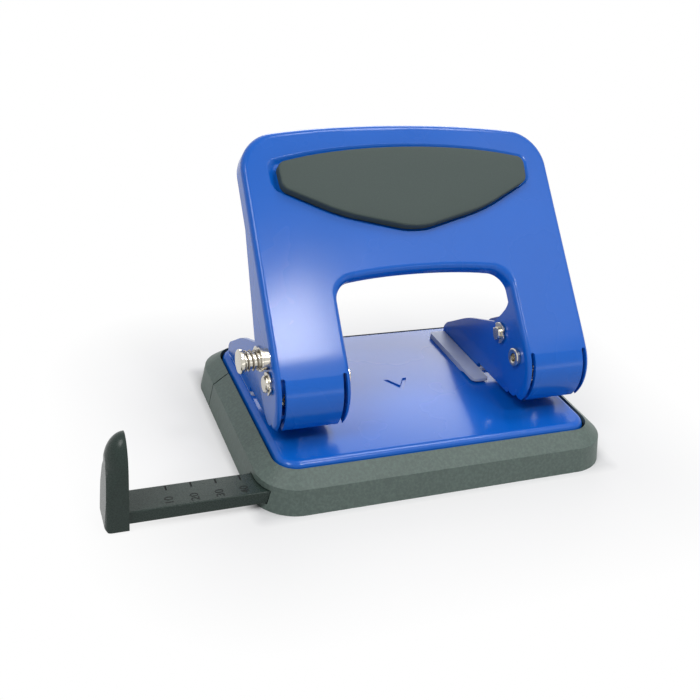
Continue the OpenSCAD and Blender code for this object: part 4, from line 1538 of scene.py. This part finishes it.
    def _number(self, bm: BMesh, word: str, spot: Vector) -> None:
        """Adds a flat number that reads across the bar.

        Args:
            bm: The mesh.
            word: The number.
            spot: Its foot.
        """
        curve = bpy.data.curves.new("numeral", "FONT")
        curve.body = word
        curve.size = self.number_size
        curve.extrude = self.number_height
        text = bpy.data.objects.new("numeral", curve)
        bpy.context.scene.collection.objects.link(text)
        bpy.context.view_layer.update()
        mesh = bpy.data.meshes.new_from_object(text.evaluated_get(bpy.context.evaluated_depsgraph_get()))
        mesh.transform(Matrix.Translation(spot) @ Matrix.Rotation(math.radians(90.0), 4, "Z"))
        bm.from_mesh(mesh)
        bpy.data.objects.remove(text)
        bpy.data.meshes.remove(mesh)


# Stage


@dataclass(frozen=True)
class Viewpoint:
    """Camera that the photograph was taken with, as fitted to the tray and the lever."""

    place: Corner = (-0.1243, -0.23915, 0.1683)
    yaw: float = math.radians(23.84)
    pitch: float = math.radians(28.34)
    roll: float = math.radians(6.27)
    focal_share: float = 949.5 / 700.0
    sensor: float = 36.0

    def build(self) -> None:
        """Sets the camera up."""
        forward = Vector(
            (
                math.sin(self.yaw) * math.cos(self.pitch),
                math.cos(self.yaw) * math.cos(self.pitch),
                -math.sin(self.pitch),
            )
        )
        level = Vector((math.cos(self.yaw), -math.sin(self.yaw), 0.0))
        upright = level.cross(forward)
        right = math.cos(self.roll) * level + math.sin(self.roll) * upright
        up = math.cos(self.roll) * upright - math.sin(self.roll) * level
        lens = bpy.data.cameras.new("viewpoint")
        lens.sensor_width = self.sensor
        lens.sensor_fit = "HORIZONTAL"
        lens.lens = self.sensor * self.focal_share
        lens.clip_start = 0.01
        lens.clip_end = 20.0
        camera = bpy.data.objects.new("viewpoint", lens)
        turn = Matrix((right, up, -forward)).transposed().to_4x4()
        camera.matrix_world = Matrix.Translation(self.place) @ turn
        bpy.context.scene.collection.objects.link(camera)
        bpy.context.scene.camera = camera


@dataclass(frozen=True)
class Softbox:
    """A rectangular studio light aimed at the object."""

    name: str
    place: Corner
    size: Point
    watts: float
    aim: Corner = (0.0, 0.0, 0.04)

    def build(self) -> None:
        """Hangs the light."""
        lamp = bpy.data.lights.new(self.name, "AREA")
        lamp.shape = "RECTANGLE"
        lamp.size, lamp.size_y = self.size
        lamp.energy = self.watts
        holder = bpy.data.objects.new(self.name, lamp)
        sight = Vector(self.aim) - Vector(self.place)
        turn = sight.to_track_quat("-Z", "Y").to_matrix().to_4x4()
        holder.matrix_world = Matrix.Translation(self.place) @ turn
        bpy.context.scene.collection.objects.link(holder)


@dataclass
class Studio:
    """Pale floor, white surroundings and soft lights."""

    ambient: float = 0.31
    footprint: Point = (57.0 * MM, 41.0 * MM)
    floor_half: float = 2.5
    floor_colour: Tint = (0.70, 0.70, 0.71)
    floor_fade: tuple[Point, ...] = ((0.0, 0.0), (0.004, 0.55), (0.05, 1.0))
    lights: tuple[Softbox, ...] = (
        Softbox("key", (-0.58, -0.30, 0.82), (0.40, 0.40), 3.9),
        Softbox("edge", (0.36, -0.02, 0.95), (0.26, 0.30), 2.8),
        Softbox("face_glow", (0.459, -0.386, 0.69), (0.28, 0.30), 0.42),
        Softbox("leg_sheen", (0.202, -0.463, 0.724), (0.105, 0.10), 1.25),
        Softbox("tongue_band", (0.50, -0.90, 0.12), (0.90, 0.14), 0.7),
        Softbox("plate_sheen", (0.352, 0.872, 0.43), (0.59, 0.36), 2.9),
    )

    def build(self) -> None:
        """Builds the stage."""
        for light in self.lights:
            light.build()
        self.surroundings()
        self.floor()
        bpy.context.scene.view_settings.view_transform = "Standard"

    @staticmethod
    def _seen(sheet: NodeSheet) -> Value:
        """One for camera, glossy and transmission rays, otherwise zero.

        Args:
            sheet: The sheet that asks.

        Returns:
            The one or zero.
        """
        kinds = (f"Is {word} Ray" for word in ("Camera", "Glossy", "Transmission"))
        camera, glossy, through = (sheet.add("ShaderNodeLightPath", output=kind) for kind in kinds)
        return (camera + glossy + through).at_most(1.0)

    def surroundings(self) -> None:
        """White world, dimmer as a light than as a backdrop."""
        world = bpy.data.worlds.new("white_room")
        world.use_nodes = True
        sheet = NodeSheet(world.node_tree)
        strength = self.ambient + self._seen(sheet) * (1.0 - self.ambient)
        white = sheet.add("ShaderNodeBackground", {}, {"Color": WHITE, "Strength": strength})
        sheet.add("ShaderNodeOutputWorld", {}, {"Surface": white})
        bpy.context.scene.world = world

    def floor(self) -> None:
        """Pale floor that keeps a faint shadow near the object and fades to white."""
        bm = bmesh.new()
        bmesh.ops.create_grid(bm, x_segments=1, y_segments=1, size=self.floor_half)
        floor = Workshop.mesh_object(bm, "studio_floor")
        material = bpy.data.materials.new("white_floor")
        material.use_nodes = True
        sheet = NodeSheet(material.node_tree)
        beyond = sheet.object_coordinates()
        for operation, second in (
            ("ABSOLUTE", {}),
            ("SUBTRACT", {1: (*self.footprint, 0.0)}),
            ("MAXIMUM", {1: (0.0, 0.0, 0.0)}),
        ):
            operands = {0: beyond, **second}
            beyond = sheet.add("ShaderNodeVectorMath", {"operation": operation}, operands, output="Vector")
        far = sheet.add("ShaderNodeVectorMath", {"operation": "LENGTH"}, {0: beyond}, output="Value")
        fade = sheet.ramp(far, self.floor_fade)
        paper = sheet.add("ShaderNodeBsdfDiffuse", {}, {"Color": opaque(self.floor_colour)})
        white = sheet.add("ShaderNodeEmission", {}, {"Color": WHITE, "Strength": 1.0})
        surface = sheet.add("ShaderNodeMixShader", {}, {0: fade * self._seen(sheet), 1: paper, 2: white})
        sheet.add("ShaderNodeOutputMaterial", {}, {"Surface": surface})
        floor.data.materials.append(material)


def main() -> None:
    """Builds the object and its stage."""
    logging.basicConfig(level=logging.INFO, format="%(name)s: %(message)s")
    Viewpoint().build()
    kinds = (BaseAssembly, BracketPair, PunchPair, LeverAssembly, LockPlunger, PaperGuide, Studio)
    for assembly in (kind() for kind in kinds):
        assembly.build()
        LOG.info("built %s", type(assembly).__name__)
    bpy.context.view_layer.update()


if __name__ == "__main__":
    main()
